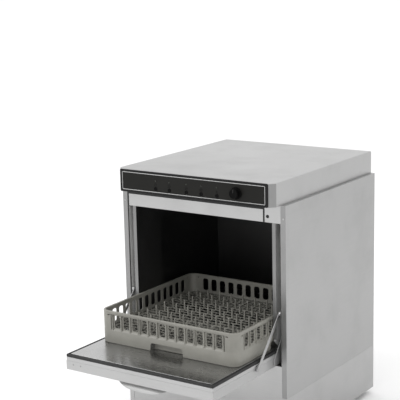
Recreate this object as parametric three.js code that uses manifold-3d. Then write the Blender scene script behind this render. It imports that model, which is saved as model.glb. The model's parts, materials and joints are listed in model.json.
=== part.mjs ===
// Undercounter commercial dishwasher with its drop-down door open and one dish rack on it.
// Millimetres, +Z up, front towards -Y. The origin is on the floor, under the middle of the
// space that the machine takes up with its door open.
import * as THREE from 'three';
import { mergeVertices } from 'three/addons/utils/BufferGeometryUtils.js';
import Module from 'manifold-3d';

const wasm = await Module();
wasm.setup();

// ---------------------------------------------------------------- driving dimensions
const GAP = 0.3;                  // between pieces that touch
const SHEET = 1.5;                // cabinet, chamber and door sheet
const SMALLEST = 0.01;            // details below this size are dropped from a finished piece

const CABINET_HALF = 300;         // outside of the side panels
const CABINET_FRONT = -270;       // front of the posts, behind the closed door
const CABINET_BACK = 318;
const FOOT_HEIGHT = 20;
const SKIRT_TOP = 170;
const CABINET_TOP = 768;
const POST_WIDTH = 17;            // front flange of a side panel
const POST_INSIDE = CABINET_HALF - POST_WIDTH;

const COVER_TOP = 840;
const COVER_HALF = 286;
const COVER_BACK = 320;
const CONSOLE_FRONT = -320;
const CONSOLE_HALF = 270;
const CONSOLE_DEPTH = 3.7;
const FASCIA_HALF = 259;
const FASCIA_LOW = 778;
const FASCIA_HIGH = 830;

const KEY_X = [-133, -81, -18, 36, 93];
const KEY_Z = 787;
const KEY_RADIUS = 6;
const LAMP_Z = 812;
const KNOB_X = 161;
const KNOB_Z = 802;

const CHAMBER_HALF = 281;
const CHAMBER_BACK = 246;
const CHAMBER_LOW = 236;
const CHAMBER_TOP = 737;
const MOUTH_HALF = 252;           // clear width between the door jambs
const MOUTH_LOW = 268;             // below the open door
const MOUTH_TOP = 712;
const SENSOR = [238, 730];        // door sensor, seen from the front as (x, z)
const TANK_FLOOR = 120;
const TANK_FLOOR_HALF = 170;
const TANK_FLOOR_FRONT = -120;
const TANK_FLOOR_BACK = 170;

const HINGE_Y = -223;             // the door's pivot, at the level of the rack's lower wall
const HINGE_Z = 368;
const PIN_RADIUS = 6;
const DOOR_HALF = 266;
const DOOR_FRONT = -620;          // edge that meets the console when the door is shut
const DOOR_INNER = 320;           // inner face, level while the door is open
const DOOR_THICKNESS = 48;
const DOOR_OUTER = DOOR_INNER - DOOR_THICKNESS;
const SEAM_Z = 300;               // outer skin below this level, seal and inner skin above it
const SEAL_WIDTH = 10;
const NOSE_RADIUS = HINGE_Z - DOOR_OUTER;
const STAY_PIN = [-390, 294];
const STAY_LENGTH = 190;
const STAY_ANGLE = 47.3;            // degrees above the level door

const RACK_SIZE = 500;
const RACK_HEIGHT = 103;
const RACK_FRONT = -470;
const RACK_LOW = DOOR_INNER + 1;
const RACK_WALL = 3;
const RACK_CORNER = 28;
const RACK_GRID_Z = RACK_LOW + 36;
const RACK_SLOTS = 12;
const RACK_SLOT_PITCH = 34;

const ARM_CENTRE = [0, -12];      // spindles of the wash and rinse arms
const SPINDLE_RADIUS = 10;
const SUMP = [-90, 60];
const DRAIN = [120, 60];
const PUMP_X = -150;
const PUMP_Z = 70;

const REAR_REACH = 334;           // how far the rear fittings stand out
const ORIGIN_Y = (DOOR_FRONT + REAR_REACH) / 2;

// ---------------------------------------------------------------- geometry helpers
function solid(geometry) {
  const bare = geometry.clone();
  bare.deleteAttribute('normal');
  bare.deleteAttribute('uv');
  const merged = mergeVertices(bare, 1e-4);
  const corners = Array.from(merged.index.array);
  const triangles = [];
  for (let i = 0; i < corners.length; i += 3) {
    const [a, b, c] = corners.slice(i, i + 3);
    if (a !== b && b !== c && c !== a) triangles.push(a, b, c);
  }
  return new wasm.Manifold(new wasm.Mesh({
    numProp: 3,
    vertProperties: Float32Array.from(merged.attributes.position.array, (v) => Math.round(v * 1000) / 1000),
    triVerts: Uint32Array.from(triangles),
  }));
}

function geometryOf(manifold) {
  const mesh = manifold.simplify(SMALLEST).getMesh();
  const geometry = new THREE.BufferGeometry();
  geometry.setAttribute('position', new THREE.BufferAttribute(mesh.vertProperties, 3));
  geometry.setIndex(new THREE.BufferAttribute(mesh.triVerts, 1));
  return geometry;
}

function join(...pieces) {
  return pieces.reduce((whole, piece) => whole.add(piece));
}

function cut(body, ...tools) {
  return tools.reduce((rest, tool) => rest.subtract(tool), body);
}

function block([x0, x1], [y0, y1], [z0, z1]) {
  const geometry = new THREE.BoxGeometry(x1 - x0, y1 - y0, z1 - z0);
  return solid(geometry.translate((x0 + x1) / 2, (y0 + y1) / 2, (z0 + z1) / 2));
}

// Turns a shape drawn in (u, v) and pushed along w so that w runs along the named axis:
// X takes (u, v) as (y, z), Y takes them as (x, z) and Z as (x, y).
const TURN = {
  X: new THREE.Matrix4().set(0, 0, 1, 0, 1, 0, 0, 0, 0, 1, 0, 0, 0, 0, 0, 1),
  Y: new THREE.Matrix4().set(1, 0, 0, 0, 0, 0, -1, 0, 0, 1, 0, 0, 0, 0, 0, 1),
  Z: new THREE.Matrix4(),
};

function shapeOf(outline) {
  return outline instanceof THREE.Shape
    ? outline
    : new THREE.Shape(outline.map(([u, v]) => new THREE.Vector2(u, v)));
}

function prism(axis, outline, [from, to], curveSegments = 6) {
  const options = { depth: to - from, bevelEnabled: false, curveSegments };
  const geometry = new THREE.ExtrudeGeometry(shapeOf(outline), options);
  geometry.translate(0, 0, axis === 'Y' ? -to : from);
  return solid(geometry.applyMatrix4(TURN[axis]));
}

function circle([u, v], radius, sides = 16) {
  return Array.from({ length: sides }, (_, i) => {
    const angle = ((i + 0.5) / sides) * 2 * Math.PI;
    return [u + radius * Math.cos(angle), v + radius * Math.sin(angle)];
  });
}

function rod(axis, centre, radius, span, sides = 12) {
  return prism(axis, circle(centre, radius, sides), span);
}

function arc([u, v], radius, fromDegrees, toDegrees, steps) {
  return Array.from({ length: steps + 1 }, (_, i) => {
    const angle = THREE.MathUtils.degToRad(fromDegrees + ((toDegrees - fromDegrees) * i) / steps);
    return [u + radius * Math.cos(angle), v + radius * Math.sin(angle)];
  });
}

function roundedRectangle(halfU, halfV, radius, centreU = 0, centreV = 0) {
  const shape = new THREE.Shape();
  const corners = [[1, 1, 0], [-1, 1, 90], [-1, -1, 180], [1, -1, 270]];
  for (const [signU, signV, start] of corners) {
    const from = THREE.MathUtils.degToRad(start);
    const u = centreU + signU * (halfU - radius);
    const v = centreV + signV * (halfV - radius);
    shape.absarc(u, v, radius, from, from + Math.PI / 2);
  }
  return shape;
}

// A turned piece: the profile is (radius, height) along +Z, or along +Y when axis is 'Y'.
function turned(axis, [a, b], profile, sides = 16) {
  const points = profile.map(([radius, height]) => new THREE.Vector2(radius, height));
  const geometry = new THREE.LatheGeometry(points, sides);
  if (axis === 'Z') {
    geometry.rotateX(Math.PI / 2).translate(a, b, 0);
  } else {
    geometry.translate(a, 0, b);
  }
  return solid(geometry);
}

// A round pipe along a smooth curve, with a bore where one is given.
function pipe(points, radius, bore, steps, sides = 8) {
  const path = new THREE.CatmullRomCurve3(points.map((p) => new THREE.Vector3(...p)), false, 'centripetal');
  const section = shapeOf(circle([0, 0], radius, sides));
  if (bore > 0) {
    section.holes.push(new THREE.Path(circle([0, 0], bore, sides).map(([u, v]) => new THREE.Vector2(u, v))));
  }
  return solid(new THREE.ExtrudeGeometry(section, { steps, extrudePath: path }));
}

// A bent strip of sheet: the line is its middle, drawn in the plane that prism() takes.
function bentStrip(line, thickness) {
  const side = (sign) => line.map(([u, v], i) => {
    const [u0, v0] = line[Math.max(i - 1, 0)];
    const [u1, v1] = line[Math.min(i + 1, line.length - 1)];
    const length = Math.hypot(u1 - u0, v1 - v0);
    const offset = (sign * thickness) / 2 / length;
    return [u - (v1 - v0) * offset, v + (u1 - u0) * offset];
  });
  return [...side(-1), ...side(1).reverse()];
}

// A straight-sided funnel between two rectangles, given as [x0, x1, y0, y1].
function funnel(low, lowZ, high, highZ) {
  const corners = (r, z) => [[r[0], r[2], z], [r[1], r[2], z], [r[1], r[3], z], [r[0], r[3], z]];
  const position = [...corners(low, lowZ), ...corners(high, highZ)].flat();
  const index = [0, 2, 1, 0, 3, 2, 4, 5, 6, 4, 6, 7];
  for (let i = 0; i < 4; i += 1) {
    const next = (i + 1) % 4;
    index.push(i, next, next + 4, i, next + 4, i + 4);
  }
  const geometry = new THREE.BufferGeometry();
  geometry.setAttribute('position', new THREE.Float32BufferAttribute(position, 3));
  geometry.setIndex(index);
  return solid(geometry);
}

// The range from a to b on the machine's left (-1) or right (+1) side.
function across(side, a, b) {
  return side > 0 ? [a, b] : [-b, -a];
}

// ---------------------------------------------------------------- materials
function finish(color, roughness, metalness) {
  return new THREE.MeshStandardMaterial({ color, roughness, metalness });
}

const STEEL = finish(0xbfc0be, 0.38, 0.9);
const DARK_STEEL = finish(0x6d6e6c, 0.45, 0.9);
const BLACK_PLASTIC = finish(0x242423, 0.45, 0.0);
const RUBBER = finish(0x141414, 0.75, 0.0);
const RACK_PLASTIC = finish(0x8a887f, 0.55, 0.0);
const GREY_PLASTIC = finish(0x9a9c9b, 0.5, 0.0);
const CAST_METAL = finish(0x8c8f90, 0.5, 0.8);
const COPPER = finish(0xb0693f, 0.4, 0.9);
const LENS = finish(0x9fb39a, 0.2, 0.0);
const BOARD = finish(0x2c5a3a, 0.6, 0.0);

const dishwasher = new THREE.Group();
dishwasher.position.y = -ORIGIN_Y;

function add(name, body, material) {
  const mesh = new THREE.Mesh(geometryOf(body), material);
  mesh.name = name;
  dishwasher.add(mesh);
}

// ---------------------------------------------------------------- cabinet
const PANEL_BACK = CABINET_BACK - SHEET - GAP;

function baseTray() {
  const half = CABINET_HALF - SHEET - GAP;
  const front = CABINET_FRONT + SHEET + 2 * GAP;
  const low = FOOT_HEIGHT + 2;
  const lipHigh = low + 14;
  const outside = block([-half, half], [front, PANEL_BACK], [low, lipHigh]);
  const inside = block([-half + SHEET, half - SHEET], [front + SHEET, PANEL_BACK - SHEET],
    [low + SHEET, lipHigh + 1]);
  return cut(outside, inside);
}

function foot(x, y) {
  const top = FOOT_HEIGHT + 2 - GAP;
  const profile = [[0, 0], [20, 0], [22, 2], [22, 7], [15, 10], [9, 11], [9, top], [0, top]];
  return turned('Z', [x, y], profile, 16);
}

// Side and back walls of the base in one piece, with a narrow flange at each front edge.
function baseSkirt() {
  const z = [FOOT_HEIGHT, SKIRT_TOP - GAP];
  const back = block([-CABINET_HALF, CABINET_HALF], [CABINET_BACK - SHEET, CABINET_BACK], z);
  const sides = [-1, 1].flatMap((side) => [
    block(across(side, CABINET_HALF - SHEET, CABINET_HALF), [CABINET_FRONT, CABINET_BACK], z),
    block(across(side, POST_INSIDE, CABINET_HALF), [CABINET_FRONT, CABINET_FRONT + SHEET], z),
  ]);
  return cut(
    join(back, ...sides),
    rod('Y', [DRAIN[0], 60], 15.5, [300, 330]),
    rod('Y', [235, 110], 9, [300, 330]),
  );
}

// Outer side panel: a folded pan with a front post, a rear and a top flange, and the block
// that holds the door's hinge pin welded inside it.
function sidePanel(side) {
  const z = [SKIRT_TOP, CABINET_TOP - GAP];
  const inside = CABINET_HALF - SHEET;
  const plan = [
    [CABINET_HALF, CABINET_FRONT], [CABINET_HALF, PANEL_BACK], [POST_INSIDE, PANEL_BACK],
    [POST_INSIDE, PANEL_BACK - SHEET], [inside, PANEL_BACK - SHEET], [inside, CABINET_FRONT + SHEET],
    [POST_INSIDE + SHEET, CABINET_FRONT + SHEET], [POST_INSIDE + SHEET, CABINET_FRONT + 20],
    [POST_INSIDE, CABINET_FRONT + 20], [POST_INSIDE, CABINET_FRONT],
  ];
  const panel = join(
    prism('Z', plan.map(([x, y]) => [side * x, y]), z),
    block(across(side, POST_INSIDE + 0.5, inside + 0.5), [CABINET_FRONT + 0.5, PANEL_BACK - 0.5],
      [z[1] - SHEET - 0.1, z[1] - 0.1]),
    block(across(side, CHAMBER_HALF + GAP, inside + 0.5), [HINGE_Y - 14, HINGE_Y + 14],
      [HINGE_Z - 22, HINGE_Z + 22]),
  );
  return cut(panel, rod('X', [HINGE_Y, HINGE_Z], PIN_RADIUS + GAP, across(side, 270, 297)));
}

function lowerFrontPanel() {
  const half = POST_INSIDE - GAP;
  const y = [CABINET_FRONT + GAP, CABINET_FRONT + GAP + SHEET];
  const z = [FOOT_HEIGHT + 1, MOUTH_LOW + 2];
  const sides = [-1, 1].map((side) => block(across(side, half - SHEET, half), [y[0], y[0] + 12],
    [FOOT_HEIGHT + 40, z[1] - 20]));
  const face = block([-half, half], y, z);
  const trayClearance = block([-CABINET_HALF, CABINET_HALF], [y[1], y[1] + 20], [0, FOOT_HEIGHT + 40]);
  return cut(join(face, ...sides), trayClearance);
}

function upperFrontPanel() {
  const half = POST_INSIDE - GAP;
  const y = [CABINET_FRONT + GAP, CABINET_FRONT + GAP + SHEET];
  const face = block([-half, half], y, [MOUTH_TOP, CABINET_TOP - 2 * GAP]);
  return cut(face, rod('Y', SENSOR, 5.3, [-280, -260]));
}

function doorSensor() {
  return join(
    rod('Y', SENSOR, 5, [CABINET_FRONT - 0.4, CABINET_FRONT + 14]),
    rod('Y', SENSOR, 7.5, [CABINET_FRONT + GAP * 2 + SHEET + 0.2, CABINET_FRONT + 6]),
  );
}

function rearPanel() {
  const half = CABINET_HALF - GAP;
  const panel = block([-half, half], [CABINET_BACK - SHEET, CABINET_BACK], [SKIRT_TOP, CABINET_TOP - GAP]);
  return cut(panel, rod('Y', [190, 205], 14.5, [300, 330]));
}

// ---------------------------------------------------------------- top cover and console
function coverOutline(inset) {
  const front = CONSOLE_FRONT + CONSOLE_DEPTH + GAP + inset;
  const cornerHalf = CONSOLE_HALF - 1 - inset * 0.6;
  const half = COVER_HALF - inset;
  const chamferBack = front + 18;
  const back = COVER_BACK - inset;
  return [
    [-cornerHalf, front], [cornerHalf, front], [half, chamferBack],
    [half, back], [-half, back], [-half, chamferBack],
  ];
}

function topCover() {
  const shell = cut(
    prism('Z', coverOutline(0), [CABINET_TOP, COVER_TOP]),
    prism('Z', coverOutline(SHEET), [CABINET_TOP - 1, COVER_TOP - SHEET]),
  );
  const underside = block(
    [-CONSOLE_HALF + 3, CONSOLE_HALF - 3],
    [CONSOLE_FRONT + CONSOLE_DEPTH + GAP + 0.5, CABINET_FRONT + 8],
    [CABINET_TOP + 1, CABINET_TOP + 1 + SHEET],
  );
  return cut(
    join(shell, underside),
    block([-180, 200], [CONSOLE_FRONT, CONSOLE_FRONT + 12], [FASCIA_LOW - 2, FASCIA_HIGH + 2]),
  );
}

// Black frame with the raised bead that borders the fascia.
function consoleBezel() {
  const y = [CONSOLE_FRONT, CONSOLE_FRONT + CONSOLE_DEPTH];
  const middle = (FASCIA_LOW + FASCIA_HIGH) / 2;
  const half = (FASCIA_HIGH - FASCIA_LOW) / 2 + GAP;
  const plate = block([-CONSOLE_HALF, CONSOLE_HALF], y, [CABINET_TOP + GAP, COVER_TOP - GAP]);
  const bead = block([-FASCIA_HALF - 3, FASCIA_HALF + 3], [y[0] - 1, y[0] + 1],
    [middle - half - 2.7, middle + half + 2.7]);
  const window = block([-FASCIA_HALF - GAP, FASCIA_HALF + GAP], [y[0] - 5, y[1] + 5],
    [middle - half, middle + half]);
  return cut(join(plate, bead), window);
}

function fasciaPanel() {
  const y = [CONSOLE_FRONT + 0.4, CONSOLE_FRONT + CONSOLE_DEPTH - 0.3];
  const through = [y[0] - 5, y[1] + 5];
  const plate = block([-FASCIA_HALF, FASCIA_HALF], y, [FASCIA_LOW, FASCIA_HIGH]);
  const keyHoles = KEY_X.map((x) => rod('Y', [x, KEY_Z], KEY_RADIUS + 0.4, through, 12));
  const lampHoles = KEY_X.map((x) => rod('Y', [x, LAMP_Z], 2.4, through, 8));
  return cut(plate, ...keyHoles, ...lampHoles, rod('Y', [KNOB_X, KNOB_Z], 4.5, through, 12));
}

function pushKey(x) {
  const behind = CONSOLE_FRONT + CONSOLE_DEPTH;
  return join(
    rod('Y', [x, KEY_Z], KEY_RADIUS, [CONSOLE_FRONT - 0.8, behind + 4], 12),
    rod('Y', [x, KEY_Z], KEY_RADIUS + 1.5, [behind + 0.1, behind + 1.6], 12),
  );
}

function pilotLightBar() {
  const behind = CONSOLE_FRONT + CONSOLE_DEPTH + 0.1;
  const bar = block([KEY_X[0] - 6, KEY_X[4] + 6], [behind, behind + 4], [LAMP_Z - 3, LAMP_Z + 3]);
  const domes = KEY_X.map((x) => rod('Y', [x, LAMP_Z], 2, [CONSOLE_FRONT - 0.2, behind + 2], 8));
  return join(bar, ...domes);
}

function controlBoard() {
  return block([-175, 125], [CONSOLE_FRONT + 16, CONSOLE_FRONT + 17.6], [FASCIA_LOW, FASCIA_HIGH]);
}

// Knob and its spindle: a knurled grip on a thin skirt, with a raised pointer line.
function selectorKnob() {
  const base = CONSOLE_FRONT - 0.4;
  const profile = [[0, base - 17], [14, base - 17], [15.5, base - 15.5], [16, base - 4],
    [19, base - 3], [19, base], [0, base]];
  const grip = turned('Y', [KNOB_X, KNOB_Z], profile, 24);
  const pointer = block([KNOB_X - 1.2, KNOB_X + 1.2], [base - 18, base - 2], [KNOB_Z + 2, KNOB_Z + 17.5]);
  const spindle = rod('Y', [KNOB_X, KNOB_Z], 3, [base - 1, CONSOLE_FRONT + 24], 12);
  return join(grip, pointer, spindle);
}

function selectorSwitch() {
  const front = CONSOLE_FRONT + CONSOLE_DEPTH + 0.4;
  const body = block([KNOB_X - 16, KNOB_X + 16], [front + 8, front + 36], [KNOB_Z - 16, KNOB_Z + 16]);
  const bush = rod('Y', [KNOB_X, KNOB_Z], 7, [front, front + 9], 12);
  return cut(join(body, bush), rod('Y', [KNOB_X, KNOB_Z], 3.3, [front - 1, CONSOLE_FRONT + 25], 12));
}

// ---------------------------------------------------------------- wash chamber and tank
// Box with an open front and an open bottom. Each jamb is a strip that the door's seal
// meets, with a guard wall behind it, so a channel for hinge arm and stay is left outside it.
// The jambs are notched round the hinge, where the door's inner face swings past them.
function washChamber() {
  const front = CABINET_FRONT + 4;
  const z = [CHAMBER_LOW, CHAMBER_TOP];
  const outside = block([-CHAMBER_HALF, CHAMBER_HALF], [front, CHAMBER_BACK], z);
  const inside = block([-CHAMBER_HALF + SHEET, CHAMBER_HALF - SHEET], [front + SHEET, CHAMBER_BACK - SHEET],
    [z[0] - 1, z[1] - SHEET]);
  const mouth = block([-CHAMBER_HALF + SHEET, CHAMBER_HALF - SHEET], [front - 1, front + 2 * SHEET],
    [MOUTH_LOW, CHAMBER_TOP - 15]);
  const jambs = [-1, 1].flatMap((side) => [
    block(across(side, MOUTH_HALF, MOUTH_HALF + 12), [front - 1.5, front],
      [DOOR_INNER + 3, CHAMBER_TOP - 12]),
    block(across(side, MOUTH_HALF, MOUTH_HALF + SHEET), [front - 1.5, front + 130],
      [DOOR_INNER + 3, CHAMBER_TOP - 0.5]),
  ]);
  const pinHoles = rod('X', [HINGE_Y, HINGE_Z], PIN_RADIUS + 1, [-CHAMBER_HALF - 5, CHAMBER_HALF + 5]);
  const spindleHole = rod('Z', ARM_CENTRE, SPINDLE_RADIUS + 1, [CHAMBER_TOP - 10, CHAMBER_TOP + 10]);
  const sensorHole = rod('Y', SENSOR, 9, [front - 5, front + 5]);
  const swing = [
    [HINGE_Y, DOOR_INNER - 2],
    ...arc([HINGE_Y, HINGE_Z], HINGE_Z - DOOR_INNER - 1.5, -90, -180, 6),
    [front - 5, HINGE_Z],
    [front - 5, DOOR_INNER - 2],
  ];
  const swingNotches = [-1, 1].map((side) => {
    return prism('X', swing, across(side, MOUTH_HALF - 1, MOUTH_HALF + 14));
  });
  const shell = cut(outside, inside, mouth, pinHoles, sensorHole);
  return cut(join(shell, ...jambs), spindleHole, ...swingNotches);
}

function washTank() {
  const top = CHAMBER_LOW - GAP;
  const high = [-CHAMBER_HALF, CHAMBER_HALF, CABINET_FRONT + 4, CHAMBER_BACK];
  const low = [-TANK_FLOOR_HALF, TANK_FLOOR_HALF, TANK_FLOOR_FRONT, TANK_FLOOR_BACK];
  const inset = (r) => [r[0] + SHEET, r[1] - SHEET, r[2] + SHEET, r[3] - SHEET];
  const shell = cut(
    funnel(low, TANK_FLOOR, high, top),
    funnel(inset(low), TANK_FLOOR + SHEET, inset(high), top + 0.1),
  );
  return cut(
    shell,
    rod('Z', ARM_CENTRE, 14.5, [100, 140], 12),
    rod('Z', SUMP, 11, [100, 140], 12),
    rod('Z', DRAIN, 12, [100, 140], 12),
    ...[-155, 155].map((x) => rod('Y', [x, 136], 6, [160, 205], 8)),
  );
}

function rackGuide() {
  const z = [RACK_LOW - 5, RACK_LOW - 1];
  const y = [-118, 240];
  const wall = CHAMBER_HALF - SHEET - GAP;
  const rails = [-1, 1].map((side) => block(across(side, 222, wall), y, [z[0], z[0] + 2]));
  const fences = [-1, 1].map((side) => block(across(side, MOUTH_HALF, MOUTH_HALF + 2), y, [z[0], z[1] + 14]));
  const rear = block([-wall, wall], [y[1] - 14, y[1]], [z[0], z[0] + 2]);
  return join(rear, ...rails, ...fences);
}

function tankFilter() {
  const z = [228, 230];
  return cut(
    block([-268, 268], [-250, 235], z),
    rod('Z', ARM_CENTRE, 18, [220, 240], 16),
    rod('Z', DRAIN, 20, [220, 240], 16),
    rod('Z', SUMP, 36, [220, 240], 20),
  );
}

function sumpFilter() {
  const profile = [[0, 122], [34, 122], [34, 230.3], [39, 230.3], [39, 232], [32, 232], [32, 124], [0, 124]];
  return turned('Z', SUMP, profile, 20);
}

function overflowStandpipe() {
  const profile = [[8, 122], [17, 122], [17, 126], [12, 127], [12, 222], [15, 223], [15, 227],
    [8, 227], [8, 122]];
  return turned('Z', DRAIN, profile, 16);
}

function tankHeater() {
  const points = [[-155, 200, 136], [-155, 120, 136], [-155, -40, 136], [-130, -92, 136], [0, -96, 136],
    [130, -92, 136], [155, -40, 136], [155, 120, 136], [155, 200, 136]];
  return pipe(points, 4.5, 0, 24, 6);
}

// ---------------------------------------------------------------- wash and rinse arms
function turningArm(z, hubRadius, armHalf, rootHalf, tipHalf) {
  const [x, y] = ARM_CENTRE;
  const outline = [
    ...arc([x + armHalf - tipHalf, y], tipHalf, -80, 80, 4),
    [x, y + rootHalf],
    ...arc([x - armHalf + tipHalf, y], tipHalf, 100, 260, 4),
    [x, y - rootHalf],
  ];
  const body = join(prism('Z', outline, [z[0] + 1, z[1] - 1]), rod('Z', ARM_CENTRE, hubRadius, z, 20));
  return cut(body, rod('Z', ARM_CENTRE, SPINDLE_RADIUS + 0.4, [z[0] - 5, z[1] + 5], 20));
}

function lowerSpindle() {
  const profile = [[0, 237], [20, 237], [20, 239.5], [SPINDLE_RADIUS, 239.6], [SPINDLE_RADIUS, 266.5],
    [15, 266.6], [15, 276], [9, 280], [0, 280]];
  return turned('Z', ARM_CENTRE, profile, 20);
}

function upperSpindle() {
  const low = 664;
  const profile = [[0, low], [12, low], [16, low + 3], [16, low + 11], [SPINDLE_RADIUS, low + 11.1],
    [SPINDLE_RADIUS, CHAMBER_TOP + GAP], [22, CHAMBER_TOP + GAP + 0.1], [22, CHAMBER_TOP + 24],
    [0, CHAMBER_TOP + 24]];
  return turned('Z', ARM_CENTRE, profile, 20);
}

// ---------------------------------------------------------------- pump, pipes and boiler
function pumpMotor() {
  const profile = [[0, -240], [38, -240], [42, -236], [42, -118], [8, -118], [8, -124], [36, -124],
    [36, -232], [0, -232]];
  return turned('Y', [PUMP_X, PUMP_Z], profile, 18);
}

function pumpRotor() {
  const profile = [[0, -228], [6, -228], [6, -218], [31, -218], [31, -138], [6, -138], [6, -98], [34, -98],
    [34, -92], [12, -86], [0, -86]];
  return turned('Y', [PUMP_X, PUMP_Z], profile, 16);
}

// Volute with its suction elbow up to the sump and two outlets.
function pumpVolute() {
  const outside = rod('Y', [PUMP_X, PUMP_Z], 46, [-114, -70], 18);
  const inside = rod('Y', [PUMP_X, PUMP_Z], 40, [-110, -74], 18);
  const route = [[PUMP_X, -78, PUMP_Z], [PUMP_X, -40, PUMP_Z], [PUMP_X + 28, 10, PUMP_Z + 8],
    [SUMP[0], SUMP[1], PUMP_Z + 30], [SUMP[0], SUMP[1], TANK_FLOOR - GAP]];
  const bored = [[PUMP_X, -90, PUMP_Z], ...route.slice(1, 4), [SUMP[0], SUMP[1], TANK_FLOOR + 4]];
  const stubs = rod('X', [-92, PUMP_Z], 13, [PUMP_X - 52, PUMP_X + 52], 12);
  return cut(
    join(outside, pipe(route, 13, 0, 10, 8), stubs),
    inside,
    pipe(bored, 10, 0, 10, 8),
    rod('X', [-92, PUMP_Z], 10, [PUMP_X - 60, PUMP_X + 60], 12),
    rod('Y', [PUMP_X, PUMP_Z], 7.5, [-120, -100], 12),
  );
}

function washFeedPipe() {
  const [x, y] = ARM_CENTRE;
  const points = [[PUMP_X + 53, -92, PUMP_Z], [-70, -91, PUMP_Z], [-16, -46, PUMP_Z], [x, y - 6, PUMP_Z + 16],
    [x, y, PUMP_Z + 38], [x, y, 180], [x, y, 236.5]];
  return pipe(points, 10, 7.5, 16);
}

function washRiserPipe() {
  const points = [
    [PUMP_X - 53, -92, PUMP_Z], [-222, -90, PUMP_Z], [-240, -60, PUMP_Z], [-241, 60, PUMP_Z],
    [-241, 240, PUMP_Z + 10], [-232, 281, 150], [-230, 283, 420], [-228, 283, 700], [-225, 281, 742],
    [-205, 255, 758], [-170, 210, 757], [-70, 50, 753], [-38, -10, 753], [-22.8, -12, 753],
  ];
  return pipe(points, 10, 7.5, 28);
}

function rinseHose() {
  const points = [[20, 281, 562], [20, 281, 660], [20, 280, 735], [19, 260, 753], [17, 210, 755],
    [14, 100, 754], [6, 14, 753]];
  return pipe(points, 7, 4.5, 16);
}

function drainPipe() {
  const [x, y] = DRAIN;
  const points = [[x, y, TANK_FLOOR - GAP], [x, y, 90], [x, y + 30, 64], [x, 200, 60], [x, REAR_REACH, 60]];
  return pipe(points, 14, 11, 12, 10);
}

function rinseBoiler() {
  const plan = roundedRectangle(90, 31, 30, 20, 281);
  const within = roundedRectangle(88, 29, 28, 20, 281);
  const body = prism('Z', plan, [260, 560], 5);
  return cut(
    body,
    prism('Z', within, [262, 558], 5),
    rod('Z', [20, 281], 5, [540, 580], 8),
    rod('Z', [60, 281], 5, [250, 270], 8),
  );
}

function inletValve() {
  const body = block([172, 208], [262, 300], [190, 222]);
  const thread = rod('Y', [190, 205], 13, [290, REAR_REACH], 12);
  const coil = rod('Z', [190, 278], 15, [221, 256], 12);
  const outlet = pipe([[176, 280, 205], [120, 281, 206], [70, 281, 225], [60, 281, 258.5]], 5.5, 0, 10, 6);
  return cut(join(body, thread, coil, outlet), rod('Y', [190, 205], 9, [310, REAR_REACH + 5], 12));
}

function pressureSwitch() {
  const can = rod('Y', [-150, 600], 24, [CHAMBER_BACK + GAP, 272], 16);
  const nipple = rod('Y', [-150, 600], 4, [270, 290], 8);
  return join(can, nipple);
}

function powerContactor() {
  const base = block([150, 205], [CHAMBER_BACK + GAP, 300], [600, 680]);
  return cut(base, block([145, 210], [286, 310], [596, 618]), block([145, 210], [286, 310], [662, 690]));
}

function cableGland() {
  const profile = [[5, 304], [12, 304], [12, 314], [8.5, 314.1], [8.5, 318.3], [13, 318.4], [13, 326],
    [9, REAR_REACH], [5, REAR_REACH], [5, 304]];
  return turned('Y', [235, 110], profile, 12);
}

// ---------------------------------------------------------------- door
// The end of the door inside the cabinet is curved about the hinge axis, so it stays the
// same short way from the lower front panel at every angle.
function doorOuterSkin() {
  const hinge = [HINGE_Y, HINGE_Z];
  const inner = NOSE_RADIUS - SHEET;
  const tip = -31.5;
  const wrap = [
    [DOOR_FRONT, SEAM_Z], [DOOR_FRONT, DOOR_OUTER], ...arc(hinge, NOSE_RADIUS, -90, tip, 8),
    ...arc(hinge, inner, tip, -90, 8), [DOOR_FRONT + SHEET, DOOR_OUTER + SHEET], [DOOR_FRONT + SHEET, SEAM_Z],
  ];
  const cheekTip = -THREE.MathUtils.radToDeg(Math.asin((HINGE_Z - SEAM_Z) / NOSE_RADIUS));
  const cheek = [
    [DOOR_FRONT, SEAM_Z],
    [DOOR_FRONT, DOOR_OUTER],
    ...arc(hinge, NOSE_RADIUS, -90, cheekTip, 6),
  ];
  return join(
    prism('X', wrap, [-DOOR_HALF, DOOR_HALF]),
    prism('X', cheek, [DOOR_HALF - SHEET, DOOR_HALF]),
    prism('X', cheek, [-DOOR_HALF, -DOOR_HALF + SHEET]),
  );
}

function doorInnerSkin() {
  const half = DOOR_HALF - SEAL_WIDTH - GAP;
  const front = DOOR_FRONT + SEAL_WIDTH + GAP;
  const back = -144;
  const returnBack = -170;
  const z = [SEAM_Z + 0.5, DOOR_INNER];
  return join(
    block([-half, half], [front, back], [z[1] - SHEET, z[1]]),
    block([-half, half], [front, front + SHEET], z),
    ...[-1, 1].map((side) => block(across(side, half - SHEET, half), [front, returnBack], z)),
  );
}

function doorSeal() {
  const z = [SEAM_Z + GAP, DOOR_INNER];
  const back = -165;
  const outside = block([-DOOR_HALF, DOOR_HALF], [DOOR_FRONT, back], z);
  const half = DOOR_HALF - SEAL_WIDTH;
  return cut(outside, block([-half, half], [DOOR_FRONT + SEAL_WIDTH, back + 5], [z[0] - 5, z[1] + 5]));
}

// Bent pull under the free edge: it is fixed along its rear edge and its lip faces forward.
function doorHandle() {
  const top = DOOR_OUTER - GAP - 1;
  const bend = 44;
  const line = [[-538, top], ...arc([-560, top - bend], bend, 90, 150, 7), [-602, top - 29]];
  return prism('X', bentStrip(line, 2), [-114, 114]);
}

function hingeArm(side) {
  const x = across(side, DOOR_HALF + GAP, DOOR_HALF + GAP + 3);
  const outline = [[-288, DOOR_OUTER + 5], [-172, DOOR_OUTER + 5], [-166, DOOR_OUTER + 22],
    ...arc([HINGE_Y, HINGE_Z], 15, -20, 200, 8), [-290, DOOR_OUTER + 24]];
  const hole = rod('X', [HINGE_Y, HINGE_Z], PIN_RADIUS + GAP, [x[0] - 5, x[1] + 5]);
  return cut(prism('X', outline, x), hole);
}

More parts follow.
